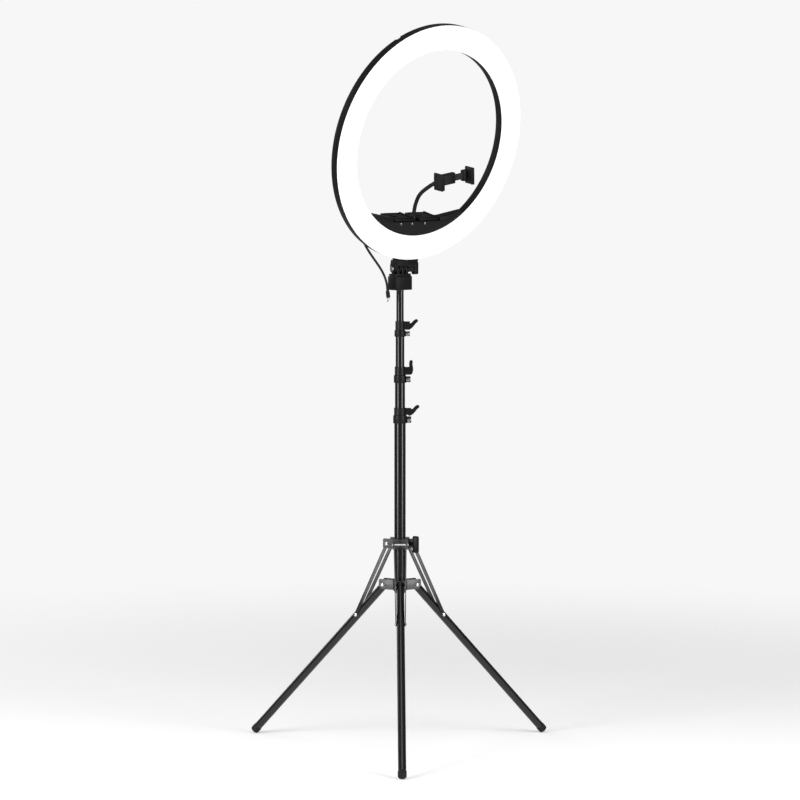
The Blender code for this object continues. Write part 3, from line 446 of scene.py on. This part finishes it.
def arc(radius, start, end, steps, centre=(0.0, 0.0)):
    out = []
    for i in range(steps + 1):
        a = math.radians(start + (end - start) * i / steps)
        out.append((centre[0] + radius * math.cos(a), centre[1] + radius * math.sin(a)))
    return out


def along(direction):
    """A turn that takes +Z to a direction."""
    return Vector((0, 0, 1)).rotation_difference(Vector(direction)).to_matrix().to_4x4()


# ---- cord ----------------------------------------------------------------------------------------
CORD_D = 0.0045
CORD_EXIT = (-0.1010, -0.1801)
CORD_ROUTE = ((-0.1010, -0.0159, 1.0077), (-0.1010, -0.0109, 1.0080), (-0.1008, -0.0065, 1.0053),
              (-0.1000, -0.0039, 1.0007), (-0.0983, -0.0030, 0.9949), (-0.0941, -0.0027, 0.9863),
              (-0.0861, -0.0025, 0.9748), (-0.0755, -0.0030, 0.9616), (-0.0639, -0.0034, 0.9484),
              (-0.0523, -0.0033, 0.9351), (-0.0430, -0.0030, 0.9215), (-0.0372, -0.0030, 0.9075),
              (-0.0350, -0.0030, 0.8945))


def smooth_route(points, spacing):
    """Evenly spaced points on a Catmull-Rom curve through the route's points."""
    knots = [Vector(p) for p in points]
    knots = [2 * knots[0] - knots[1]] + knots + [2 * knots[-1] - knots[-2]]
    fine = []
    for i in range(1, len(knots) - 2):
        a, b, c, d = knots[i - 1:i + 3]
        for j in range(40):
            t = j / 40
            fine.append(0.5 * ((2 * b) + (c - a) * t + (2 * a - 5 * b + 4 * c - d) * t ** 2
                               + (3 * b - a - 3 * c + d) * t ** 3))
    fine.append(knots[-2])
    length = sum((q - p).length for p, q in zip(fine, fine[1:]))
    count = max(2, round(length / spacing))
    out, walked, target = [fine[0]], 0.0, 1
    for p, q in zip(fine, fine[1:]):
        step = (q - p).length
        while target < count and walked + step >= target * length / count:
            out.append(p.lerp(q, (target * length / count - walked) / step))
            target += 1
        walked += step
    out.append(fine[-1])
    return out


def build_cord():
    points = [ASSEMBLY @ p for p in smooth_route(CORD_ROUTE, 0.0025)]
    curve = bpy.data.curves.new("flex", "CURVE")
    curve.dimensions = "3D"
    curve.bevel_depth = CORD_D / 2
    curve.bevel_resolution = 6
    curve.use_fill_caps = True
    spline = curve.splines.new("POLY")
    spline.points.add(len(points) - 1)
    for point, place in zip(spline.points, points):
        point.co = (*place, 1)
    spline.use_smooth = True
    curve.materials.append(MATERIAL["cord_black"])
    flex = bpy.data.objects.new("flex", curve)
    bpy.context.scene.collection.objects.link(flex)
    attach(flex, "ring")
    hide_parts("power_cord")

    back = -RING_DEPTH
    profile = [(CORD_D / 2 + GAP, back - GAP), (0.0050, back - GAP), (0.0050, back - 0.0022)]
    for i in range(4):
        z = back - 0.0026 - i * 0.0018
        r = 0.0047 - i * 0.0003
        profile += [(r - 0.0006, z), (r - 0.0006, z - 0.0006), (r, z - 0.0009), (r, z - 0.0015)]
    profile += [(0.0035, back - 0.0100), (CORD_D / 2 + GAP, back - 0.0100)]
    relief = piece("gland", lathe_mesh("gland", profile, 40), MATERIAL["rubber_black"], "ring",
                   ("strain_relief",), RING @ shift(*CORD_EXIT, 0))

    lean = (points[-1] - points[-2]).normalized()
    start = points[-1] + lean * GAP
    seat = Matrix.Translation(start) @ along(-lean)
    r, length = 0.0040, 0.0240
    grip = [(0, 0), (CORD_D / 2 + 0.0005, 0), (0.0031, -0.0022)]
    for i in range(5):
        z = -0.0040 - i * 0.0019
        grip += [(r, z), (r, z - 0.0010), (r - 0.0004, z - 0.0013), (r - 0.0004, z - 0.0017)]
    grip += [(r, -0.0140), (r, -length * 0.62 + 0.0004), (r - 0.0005, -length * 0.62), (0, -length * 0.62)]
    plug = piece("plug_grip", lathe_mesh("plug_grip", grip, 40, closed=False), MATERIAL["plastic_black"],
                 "ring", ("dc_plug",), seat)
    barrel = [(0.00275, -length * 0.62 - 0.00005), (0.00275, -length + 0.0003), (0.0025, -length),
              (0.00125, -length), (0.00105, -length + 0.0003), (0.00105, -length * 0.64),
              (0.00105, -length * 0.62 - 0.00005)]
    tip = piece("plug_barrel", lathe_mesh("plug_barrel", barrel, 40), MATERIAL["chrome"], "ring",
                (), seat)
    run = sum((b - a).length for a, b in zip(points, points[1:]))
    print("cord length", round(run, 4))


build_cord()

# ---- mast and legs -------------------------------------------------------------------------------
TUBE_WALL, STEP = 0.0010, 0.0013
BASE_R = 0.0110
TUBES = (("base_tube", "stand"), ("mast_section_2", "section_2"), ("mast_section_3", "section_3"),
         ("mast_section_4", "section_4"))


def tube_mesh(name, r, wall, low, high, steps=72):
    lip = 0.0003
    return lathe_mesh(name, [(r, high - lip), (r, low + lip), (r - lip, low), (r - wall, low),
                             (r - wall, high), (r - lip, high)], steps)


for index, (node, body) in enumerate(TUBES):
    low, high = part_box(node)
    piece("tube_" + node, tube_mesh(node, BASE_R - index * STEP, TUBE_WALL, low.z, high.z),
          MATERIAL["tube_black"], body, (node,), ASSEMBLY)

LEG_R, LEG_ANGLE = 0.00775, math.radians(43.6)
HUB_R, HUB_Z = 0.0340, 0.3185
LEG_LENGTH = (HUB_Z - 0.0050) / math.cos(LEG_ANGLE)
BRACE_AT, BRACE_LENGTH, COLLAR_R = 0.0870, 0.1619, 0.0220
REACH = HUB_R + BRACE_AT * math.sin(LEG_ANGLE) - COLLAR_R
COLLAR_Z = HUB_Z - BRACE_AT * math.cos(LEG_ANGLE) + math.sqrt(BRACE_LENGTH ** 2 - REACH ** 2)
BRACE_ANGLE = math.asin(REACH / BRACE_LENGTH)


def rivet_mesh(name, half, head_r=0.0034, head=0.0012, shank=0.0019):
    """A domed rivet along Y: half is where its heads start."""
    dome = []
    for side in (1, -1):
        points = [(head_r * math.sin(math.radians(a)), half + 0.0002 + (head - 0.0002)
                   * math.cos(math.radians(a))) for a in (0, 15, 30, 45, 60, 75, 90)]
        dome.append([(r, side * z) for r, z in points] + [(head_r, side * half), (shank, side * half)])
    profile = dome[0] + dome[1][::-1]
    mesh = lathe_mesh(name, profile, 32, closed=False)
    mesh.transform(turn(-math.pi / 2, "X"))
    return mesh


STRIP, STRIP_HALF, STRIP_SPREAD, HOOK_CLEAR = 0.0018, 0.0034, 0.0028, 0.0025
SLEEVE_R, SLEEVE_BORE = 0.0029, 0.0021


def plate_mesh(name, outline, half, edge=0.0002):
    """A flat plate across Y from its (x, z) outline."""
    bm = bmesh.new()
    near = [bm.verts.new((x, -half, z)) for x, z in outline]
    far = [bm.verts.new((x, half, z)) for x, z in outline]
    count = len(outline)
    for i in range(count):
        j = (i + 1) % count
        bm.faces.new((near[i], near[j], far[j], far[i]))
    caps = [bm.faces.new(near[::-1]), bm.faces.new(far)]
    bmesh.ops.recalc_face_normals(bm, faces=bm.faces)
    rims = [e for e in bm.edges if sum(f in caps for f in e.link_faces) == 1]
    bmesh.ops.bevel(bm, geom=rims, offset=edge, segments=2, affect="EDGES", profile=0.5)
    mesh = bpy.data.meshes.new(name)
    bm.to_mesh(mesh)
    bm.free()
    return mesh


def brace_mesh():
    """Two flat strips on a sleeve, with an open hook at the top of each."""
    top = BRACE_LENGTH
    outline = (arc(STRIP_HALF, 180, 360, 16) + [(STRIP_HALF, top)] + arc(STRIP_HALF, 20, 90, 8, (0, top))
               + arc(HOOK_CLEAR, 90, -90, 14, (0, top)) + [(-STRIP_HALF, top - STRIP_HALF - 0.0040)])
    strip = plate_mesh("strip", outline, STRIP / 2)
    middle = LEG_R + GAP + STRIP / 2
    lean = math.atan(STRIP_SPREAD / BRACE_LENGTH)
    sleeve = lathe_mesh("sleeve", [(SLEEVE_R, -middle), (SLEEVE_R, middle), (SLEEVE_BORE, middle),
                                   (SLEEVE_BORE, -middle)], 32)
    parts = [(strip, shift(0, sign * middle, 0) @ turn(-sign * lean, "X")) for sign in (-1, 1)]
    return merge("brace", parts + [(sleeve, turn(math.pi / 2, "X"))])


def foot_mesh():
    """A short rubber cap with a rounded end, its ring standing on the floor."""
    skin, seat, round_r, top = LEG_R + 0.0007, LEG_R + GAP, 0.0022, 0.0125
    profile = [(0, 0)] + arc(round_r, -90, 0, 6, (skin - round_r, round_r))
    profile += [(skin, top - 0.0006), (skin - 0.0003, top), (seat, top), (seat, 0.0028), (0, 0.0028)]
    mesh = lathe_mesh("foot", profile, 64, closed=False)
    mesh.transform(shift(0, 0, -LEG_LENGTH))
    return mesh


for index, name in enumerate(SIDES):
    side = STAND @ turn(math.radians(-90 + 120 * index), "Z")
    hinge = side @ shift(HUB_R, 0, HUB_Z) @ turn(-LEG_ANGLE, "Y")
    leg = "leg_" + name
    tube = tube_mesh(leg, LEG_R, 0.0010, -LEG_LENGTH + 0.0030, 0.0080, 64)
    piece(f"tube_{leg}", tube, MATERIAL["tube_black"], leg, (f"leg_tube_{name}",), hinge)
    piece(f"rivet_hub_{name}", rivet_mesh("hub_rivet", 0.01015), MATERIAL["chrome"], "stand",
          (f"hub_rivet_{name}",), hinge)
    piece(f"rivet_collar_{name}", rivet_mesh("collar_pin", 0.01505), MATERIAL["chrome"], "collar",
          (f"collar_pin_{name}",), side @ shift(COLLAR_R, 0, COLLAR_Z))
    knee = hinge @ shift(0, 0, -BRACE_AT) @ turn(LEG_ANGLE - BRACE_ANGLE, "Y")
    piece(f"rivet_brace_{name}", rivet_mesh("brace_rivet", 0.01045), MATERIAL["chrome"], f"brace_{name}",
          (f"brace_rivet_{name}",), knee)
    strips = brace_mesh()
    strips.transform(knee)
    piece(f"strips_{name}", strips, MATERIAL["gunmetal"], f"brace_{name}", (f"brace_{name}",),
          None, 40)
    piece(f"cap_{name}", foot_mesh(), MATERIAL["rubber_black"], leg, (f"foot_{name}",), hinge)

# ---- ring ----------------------------------------------------------------------------------------
def build_ring():
    lip, back = -0.0017, -RING_DEPTH
    out, inn = RING_R, OPENING_R
    profile = [(out - 0.0003, lip), (out, lip - 0.0004), (out, -0.0066), (out - 0.0004, -0.0069),
               (out - 0.0004, -0.0074), (out, -0.0077)]
    profile += arc(0.0015, 0, -90, 5, (out - 0.0015, back + 0.0015))
    profile += [(out - 0.0080, back), (out - 0.0084, back + 0.0003), (out - 0.0094, back + 0.0003),
                (out - 0.0098, back), (inn + 0.0098, back), (inn + 0.0094, back + 0.0003),
                (inn + 0.0084, back + 0.0003), (inn + 0.0080, back)]
    profile += arc(0.0015, -90, -180, 5, (inn + 0.0015, back + 0.0015))
    profile += [(inn, lip - 0.0004), (inn + 0.0003, lip), (inn + 0.0020, lip), (inn + 0.0020, back + 0.0020),
                (out - 0.0020, back + 0.0020), (out - 0.0020, lip)]
    shell = piece("shell", lathe_mesh("shell", profile, 240), MATERIAL["shell_black"], "ring",
                  ("ring_shell",), RING)
    cutters = [(rounded_box("notch", (RING_R - 0.0035, -0.0060, back - 0.01),
                            (RING_R + 0.01, 0.0060, back + 0.0040), 0.0004, 1), turn(math.radians(119), "Z")),
               (lathe_mesh("gland_hole", [(0, back + 0.01), (0.0026, back + 0.01), (0.0026, back - 0.01),
                                          (0, back - 0.01)], 32, closed=False), shift(*CORD_EXIT, 0))]
    tool = bpy.data.objects.new("ring_cutter", merge("ring_cutter", cutters))
    tool.matrix_world = RING
    bpy.context.scene.collection.objects.link(tool)
    bpy.context.view_layer.update()
    step = shell.modifiers.new("cut", "BOOLEAN")
    step.operation = "DIFFERENCE"
    step.solver = "EXACT"
    step.object = tool
    bake(shell)
    bpy.data.objects.remove(tool, do_unlink=True)

    face = arc(0.0010, 0, 90, 5, (out - 0.0012, -0.0010)) + arc(0.0010, 90, 180, 5, (inn + 0.0012, -0.0010))
    face += [(inn + 0.0002, -0.0014), (inn + 0.0023, -0.0014), (inn + 0.0023, -0.0026),
             (out - 0.0023, -0.0026), (out - 0.0023, -0.0014), (out - 0.0002, -0.0014)]
    piece("light_face", lathe_mesh("light_face", face, 240), MATERIAL["diffuser_white"], "ring",
          ("diffuser",), RING)

    # screws and vents on the back
    screw = screw_mesh("ring_screw", 0.0030, 0.0008)
    places = []
    for i in range(10):
        a = math.radians(18 + 36 * i)
        r = (out + inn) / 2
        x, y = r * math.cos(a), r * math.sin(a)
        if y < -0.15:
            continue
        places.append((screw, shift(x, y, back - 0.0009) @ turn(math.pi, "X") @ turn(a, "Z")))
    piece("ring_screws", merge("ring_screws", places), MATERIAL["chrome"], "ring", (), RING)
    ribs = []
    for centre in (36, 144, 90):
        for i in range(-5, 6):
            a = math.radians(centre + i * 1.3)
            rib = rounded_box("rib", (-0.0100, -0.0010, -0.0006), (0.0100, 0.0010, 0.0004), 0.00035, 2)
            x, y = (out + inn) / 2 * math.cos(a), (out + inn) / 2 * math.sin(a)
            ribs.append((rib, shift(x, y, back - 0.0004) @ turn(a, "Z")))
    piece("ring_vent_ribs", merge("ring_vent_ribs", ribs), MATERIAL["shell_black"], "ring",
          (), RING)


def bake(obj):
    """Applies an object's modifiers to its mesh."""
    graph = bpy.context.evaluated_depsgraph_get()
    mesh = bpy.data.meshes.new_from_object(obj.evaluated_get(graph))
    obj.modifiers.clear()
    obj.data = mesh
    mesh.set_sharp_from_angle(angle=math.radians(32))


def screw_mesh(name, r, height):
    """A low domed screw head with a cross recess; +Z is outwards and 0 its seat."""
    profile = [(0, height), (r * 0.5, height * 0.95), (r * 0.8, height * 0.75), (r, height * 0.35),
               (r, 0.0001), (r * 0.95, 0), (0, 0)]
    head = lathe_mesh(name, profile, 28, closed=False)
    obj = bpy.data.objects.new(name, head)
    bpy.context.scene.collection.objects.link(obj)
    cutters = []
    for angle in (0, math.pi / 2):
        mesh = rounded_box("slot", (-r * 0.6, -r * 0.13, height * 0.35), (r * 0.6, r * 0.13, height * 2),
                           r * 0.03, 1)
        mesh.transform(turn(angle, "Z"))
        cutter = bpy.data.objects.new("cross", mesh)
        bpy.context.scene.collection.objects.link(cutter)
        step = obj.modifiers.new("cut", "BOOLEAN")
        step.operation = "DIFFERENCE"
        step.solver = "EXACT"
        step.object = cutter
        cutters.append(cutter)
    bpy.context.view_layer.update()
    graph = bpy.context.evaluated_depsgraph_get()
    out = bpy.data.meshes.new_from_object(obj.evaluated_get(graph))
    for thing in [obj] + cutters:
        bpy.data.objects.remove(thing, do_unlink=True)
    return out


build_ring()


# ---- controls ------------------------------------------------------------------------------------
COVER_BACK, COVER_BOTTOM = 0.0440, 0.1840        # rear face, and lower edge below the ring's centre
HOUSING_FRONT = 0.0015
DIAL_X, DIAL_R, DIAL_LENGTH = 0.0330, 0.0085, 0.0110
PLATE_LEFT, PLATE_WIDTH, PLATE_THICK = {"left": -0.0550, "right": 0.0080}, 0.0490, 0.0050


def build_controls():
    front = -HOUSING_FRONT
    screw = screw_mesh("housing_screw", 0.0024, 0.0007)
    places = [(screw, shift(x, -0.1585, front + 0.00005) @ turn(math.radians(a), "Z"))
              for x, a in ((-0.039, 10), (-0.011, 38), (0.022, -22))]
    piece("housing_screws", merge("housing_screws", places), SCREW, "ring", (), RING)

    rear = -COVER_BACK
    dial_y = -(CHORD + COVER_BOTTOM) / 2
    for node, x in (("brightness_knob", -DIAL_X), ("colour_knob", DIAL_X)):
        r, top, end = DIAL_R, rear - 0.0006, rear - 0.0006 - DIAL_LENGTH
        profile = [(0, rear + 0.0060), (0.0030, rear + 0.0060), (0.0030, top), (r - 0.0004, top),
                   (r, top - 0.0004), (r, top - 0.0012), (r - 0.0002, top - 0.0014),
                   (r - 0.0002, end + 0.0016),
                   (r - 0.0006, end + 0.0006), (r - 0.0014, end), (0.0050, end), (0.0045, end + 0.0004),
                   (0, end + 0.0004)]
        body = lathe_mesh(node, profile, 192, False, (48, 0.0004, end + 0.0010, top - 0.0013))
        piece("dial_" + node, body, MATERIAL["plastic_black"], node, (node,),
              RING @ shift(x, dial_y, 0))
        mark = rounded_box("mark", (-0.0005, 0.0052, end - 0.0001), (0.0005, 0.0072, end + 0.0004), 0.0001, 1)
        piece("mark_" + node, mark, MARK, node, (), RING @ shift(x, dial_y, 0))
        ticks = []
        for i in range(11):
            a = math.radians(225 - 27 * i)
            tick = rounded_box("tick", (0.0104, -0.00025, -0.00012), (0.0122, 0.00025, 0.00002), 0.00004, 1)
            ticks.append((tick, shift(x, dial_y, rear) @ turn(a, "Z")))
        piece("ticks_" + node, merge("ticks", ticks), MARK, "ring", (), RING)

    ribs = []
    for i in range(9):
        x = -0.0120 + i * 0.0030
        ribs.append((rounded_box("rib", (x - 0.0008, -0.1740, rear - 0.0006),
                                 (x + 0.0008, -0.1560, rear + 0.0002), 0.0003, 2), Matrix.Identity(4)))
    piece("cover_vent_ribs", merge("cover_vent_ribs", ribs), MATERIAL["plastic_black"], "ring",
          (), RING)
    screw = screw_mesh("cover_screw", 0.0026, 0.0008)
    places = [(screw, shift(x, y, rear + 0.00005) @ turn(math.pi, "X") @ turn(math.radians(a), "Z"))
              for x, y, a in ((-0.0700, -0.1625, 12), (0.0700, -0.1625, 51), (-0.0560, -0.1765, 80),
                              (0.0560, -0.1765, 33))]
    piece("cover_screws", merge("cover_screws", places), MATERIAL["chrome"], "ring", (), RING)

    # battery plates: a flat tray with side rails and a low stop
    seat, top = -CHORD + GAP, -CHORD + GAP + PLATE_THICK
    for name, left in PLATE_LEFT.items():
        right = left + PLATE_WIDTH
        parts = [rounded_box("tray", (left, seat, -0.0480), (right, top, -0.0040), 0.0006),
                 rounded_box("stop", (right - 0.0030, seat + 0.0010, -0.0470),
                             (right, top + 0.0020, -0.0050), 0.0005)]
        for z in (-0.0085, -0.0435):
            parts.append(rounded_box("rail", (left + 0.0050, top - 0.0001, z - 0.0012),
                                     (left + 0.0440, top + 0.0012, z + 0.0012), 0.0004, 2))
        plate = merge("plate", [(part, Matrix.Identity(4)) for part in parts])
        piece(f"tray_{name}", plate, MATERIAL["plastic_black"], "ring",
              (f"battery_plate_{name}",), RING)


build_controls()

# ---- gooseneck and phone holder --------------------------------------------------------------------
NECK_ROUTE = ((0.0097, -0.0140), (0.0300, -0.0140), (0.0530, -0.0060), (0.0750, 0.0165),
              (0.0950, 0.0440), (0.1039, 0.0610))
NECK_R, BALL_R = 0.0039, 0.0055
JAW_HALF_GAP = 0.03675


def sweep(name, points, radii, sides=20):
    """A tube along points with a radius for each."""
    bm = bmesh.new()
    rings = []
    normal = Vector((1, 0, 0))
    for i, (p, r) in enumerate(zip(points, radii)):
        ahead = points[min(i + 1, len(points) - 1)] - points[max(i - 1, 0)]
        ahead.normalize()
        normal = (normal - ahead * normal.dot(ahead)).normalized()
        side = ahead.cross(normal)
        rings.append([bm.verts.new(p + (normal * math.cos(math.tau * j / sides)
                                        + side * math.sin(math.tau * j / sides)) * r) for j in range(sides)])
    for a, b in zip(rings, rings[1:]):
        for j in range(sides):
            k = (j + 1) % sides
            bm.faces.new((a[j], a[k], b[k], b[j]))
    bm.faces.new(rings[0][::-1])
    bm.faces.new(rings[-1])
    bmesh.ops.recalc_face_normals(bm, faces=bm.faces)
    mesh = bpy.data.meshes.new(name)
    bm.to_mesh(mesh)
    bm.free()
    return mesh


def build_holder():
    coarse = smooth_route([(0, up, ahead) for up, ahead in NECK_ROUTE], 0.0085)
    lean = (coarse[-1] - coarse[-2]).normalized()
    centre = coarse[-1] + lean * BALL_R * 0.8
    fine = smooth_route([tuple(p) for p in coarse], 0.0006)
    radii = []
    for i in range(len(fine)):
        wave = 0.5 + 0.5 * math.cos(math.tau * i / 3)
        radii.append(NECK_R - 0.0004 + 0.0004 * wave)
    hose = sweep("hose", fine, radii)
    base_profile = [(0, 0.0003), (0.0053, 0.0003), (0.0055, 0.0006), (0.0055, 0.0038), (0.0051, 0.0041),
                    (0.0051, 0.0044), (0.0055, 0.0047), (0.0054, 0.0082), (0.0046, 0.0101), (0.0038, 0.0107),
                    (0, 0.0107)]
    base = lathe_mesh("base", base_profile, 48, closed=False)
    at_base = shift(0, 0, -0.0140) @ turn(-math.pi / 2, "X")
    cuff = lathe_mesh("cuff", [(0, 0.0), (0.0044, 0.0), (0.0046, 0.0003), (0.0046, 0.0036), (0.0040, 0.0044),
                               (0, 0.0044)], 40, closed=False)
    at_cuff = Matrix.Translation(coarse[-1] - lean * 0.0062) @ along(lean)
    ball = bmesh.new()
    bmesh.ops.create_uvsphere(ball, u_segments=40, v_segments=24, radius=BALL_R)
    ball_mesh = bpy.data.meshes.new("ball")
    ball.to_mesh(ball_mesh)
    ball.free()
    piece("flexible_arm", merge("flexible_arm", [(hose, Matrix.Identity(4)), (base, at_base), (cuff, at_cuff),
                                                 (ball_mesh, Matrix.Translation(centre))]),
          MATERIAL["bracket_black"], "gooseneck", ("gooseneck",), NECK)

    holder = NECK @ Matrix.Translation(centre) @ turn(HOLDER_ROLL, "Z") @ turn(HOLDER_TILT, "X")
    front = BALL_R + 0.0004 - 0.0030 + 0.0095
    for name, body, inner, sign in (("left", "phone_clamp", -JAW_HALF_GAP, 1),
                                    ("right", "phone_jaw", JAW_HALF_GAP, -1)):
        ribs = []
        for i in range(9):
            y = -0.0120 + i * 0.0030
            x0, x1 = sorted((inner - sign * 0.0001, inner + sign * 0.0006))
            ribs.append((rounded_box("rib", (x0, y - 0.0009, front + 0.0006),
                                     (x1, y + 0.0009, front + 0.0112), 0.0003, 2), Matrix.Identity(4)))
        piece(f"jaw_pad_{name}", merge("pad", ribs), MATERIAL["rubber_black"], body, (),
              holder)
    pad = rounded_box("bar_pad", (-0.0330, -0.0085, front - 0.0002),
                      (-0.0050, 0.0085, front + 0.0004), 0.0003, 2)
    piece("bar_pad", pad, MATERIAL["rubber_black"], "phone_clamp", (), holder)


build_holder()

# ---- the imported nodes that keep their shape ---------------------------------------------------
EDGES = {"socket_block": 0.0003, "ring_bracket": 0.0004,
         "phone_clamp_body": 0.0003, "phone_clamp_jaw": 0.0003,
         "leg_hub": 0.0003, "collar": 0.0003, "control_housing": 0.0004, "control_cover": 0.0008,
         "tilt_lever": 0.0004, "collar_knob": 0.0008, "socket_knob": 0.0008, "tilt_bolt": 0.0004}
for clamp_name in CLAMPS:
    EDGES["clamp_" + clamp_name] = 0.0003
    EDGES["clamp_lever_" + clamp_name] = 0.0006
    EDGES["clamp_screw_" + clamp_name] = 0.0003
for node in NODES:
    if not NODES[node].hide_render:
        dress(node, EDGES.get(node, 0.0002))

# ---- floor and light -------------------------------------------------------------------------------
FLOOR_R = 2.6


def build_floor():
    """A round pale floor that fades into the backdrop towards its rim."""
    bm = bmesh.new()
    bmesh.ops.create_circle(bm, cap_ends=True, segments=96, radius=FLOOR_R)
    mesh = bpy.data.meshes.new("floor")
    bm.to_mesh(mesh)
    bm.free()
    floor = bpy.data.objects.new("floor", mesh)
    floor.location = (MAST.x, MAST.y, -0.0002)
    bpy.context.scene.collection.objects.link(floor)
    paper = Nodes("floor_paper", (0.88, 0.88, 0.88), 0.9)
    paper.vary_colour(paper.noise(3, 3), 0.995, 1.0)
    paper.set("Emission Color", (1.0, 1.0, 1.0, 1.0)).set("Emission Strength", 0.22)
    place = paper.add("ShaderNodeTexCoord")
    length = paper.add("ShaderNodeVectorMath")
    length.operation = "LENGTH"
    paper.link(place.outputs["Object"], length.inputs[0])
    fade = paper.add("ShaderNodeMapRange")
    fade.interpolation_type = "SMOOTHSTEP"
    fade.inputs["From Min"].default_value = 0.5
    fade.inputs["From Max"].default_value = FLOOR_R - 0.1
    fade.inputs["To Min"].default_value = 1.0
    fade.inputs["To Max"].default_value = 0.0
    paper.link(length.outputs["Value"], fade.inputs["Value"])
    paper.link(fade.outputs["Result"], paper.shader.inputs["Alpha"])
    mesh.materials.append(paper.material)


build_floor()
BACKDROP, SURROUND = 0.93, 0.17


def build_world():
    """A white backdrop that lights and mirrors like a dimmer room."""
    world = bpy.data.worlds.new("studio")
    world.use_nodes = True
    tree = world.node_tree
    sky = tree.nodes["Background"]
    path = tree.nodes.new("ShaderNodeLightPath")
    pick = tree.nodes.new("ShaderNodeMapRange")
    pick.inputs["To Min"].default_value = SURROUND
    pick.inputs["To Max"].default_value = BACKDROP
    tree.links.new(path.outputs["Is Camera Ray"], pick.inputs["Value"])
    tree.links.new(pick.outputs["Result"], sky.inputs["Strength"])
    sky.inputs["Color"].default_value = (1.0, 1.0, 1.0, 1.0)
    bpy.context.scene.world = world


build_world()


def lamp(name, azimuth, height, distance, size, power, aim=0.7):
    """A soft box; azimuth 0 is in front of the ring."""
    data = bpy.data.lights.new(name, "AREA")
    data.shape = "RECTANGLE"
    data.size, data.size_y = size
    data.energy = power
    light = bpy.data.objects.new(name, data)
    bpy.context.scene.collection.objects.link(light)
    a = math.radians(azimuth)
    light.location = (distance * math.sin(a), -distance * math.cos(a), height)
    back = light.location - Vector((0, 0, aim))
    light.rotation_euler = back.to_track_quat("Z", "Y").to_euler()
    return light


lamp("strip_left", -89, 1.25, 2.4, (0.9, 2.4), 55)
lamp("strip_right", 8, 1.25, 2.5, (0.9, 2.4), 50)
lamp("top", -40, 3.2, 1.6, (2.0, 2.0), 26)
lamp("rear", 190, 1.7, 2.8, (1.2, 2.2), 18)
bpy.context.scene.view_settings.view_transform = "Standard"
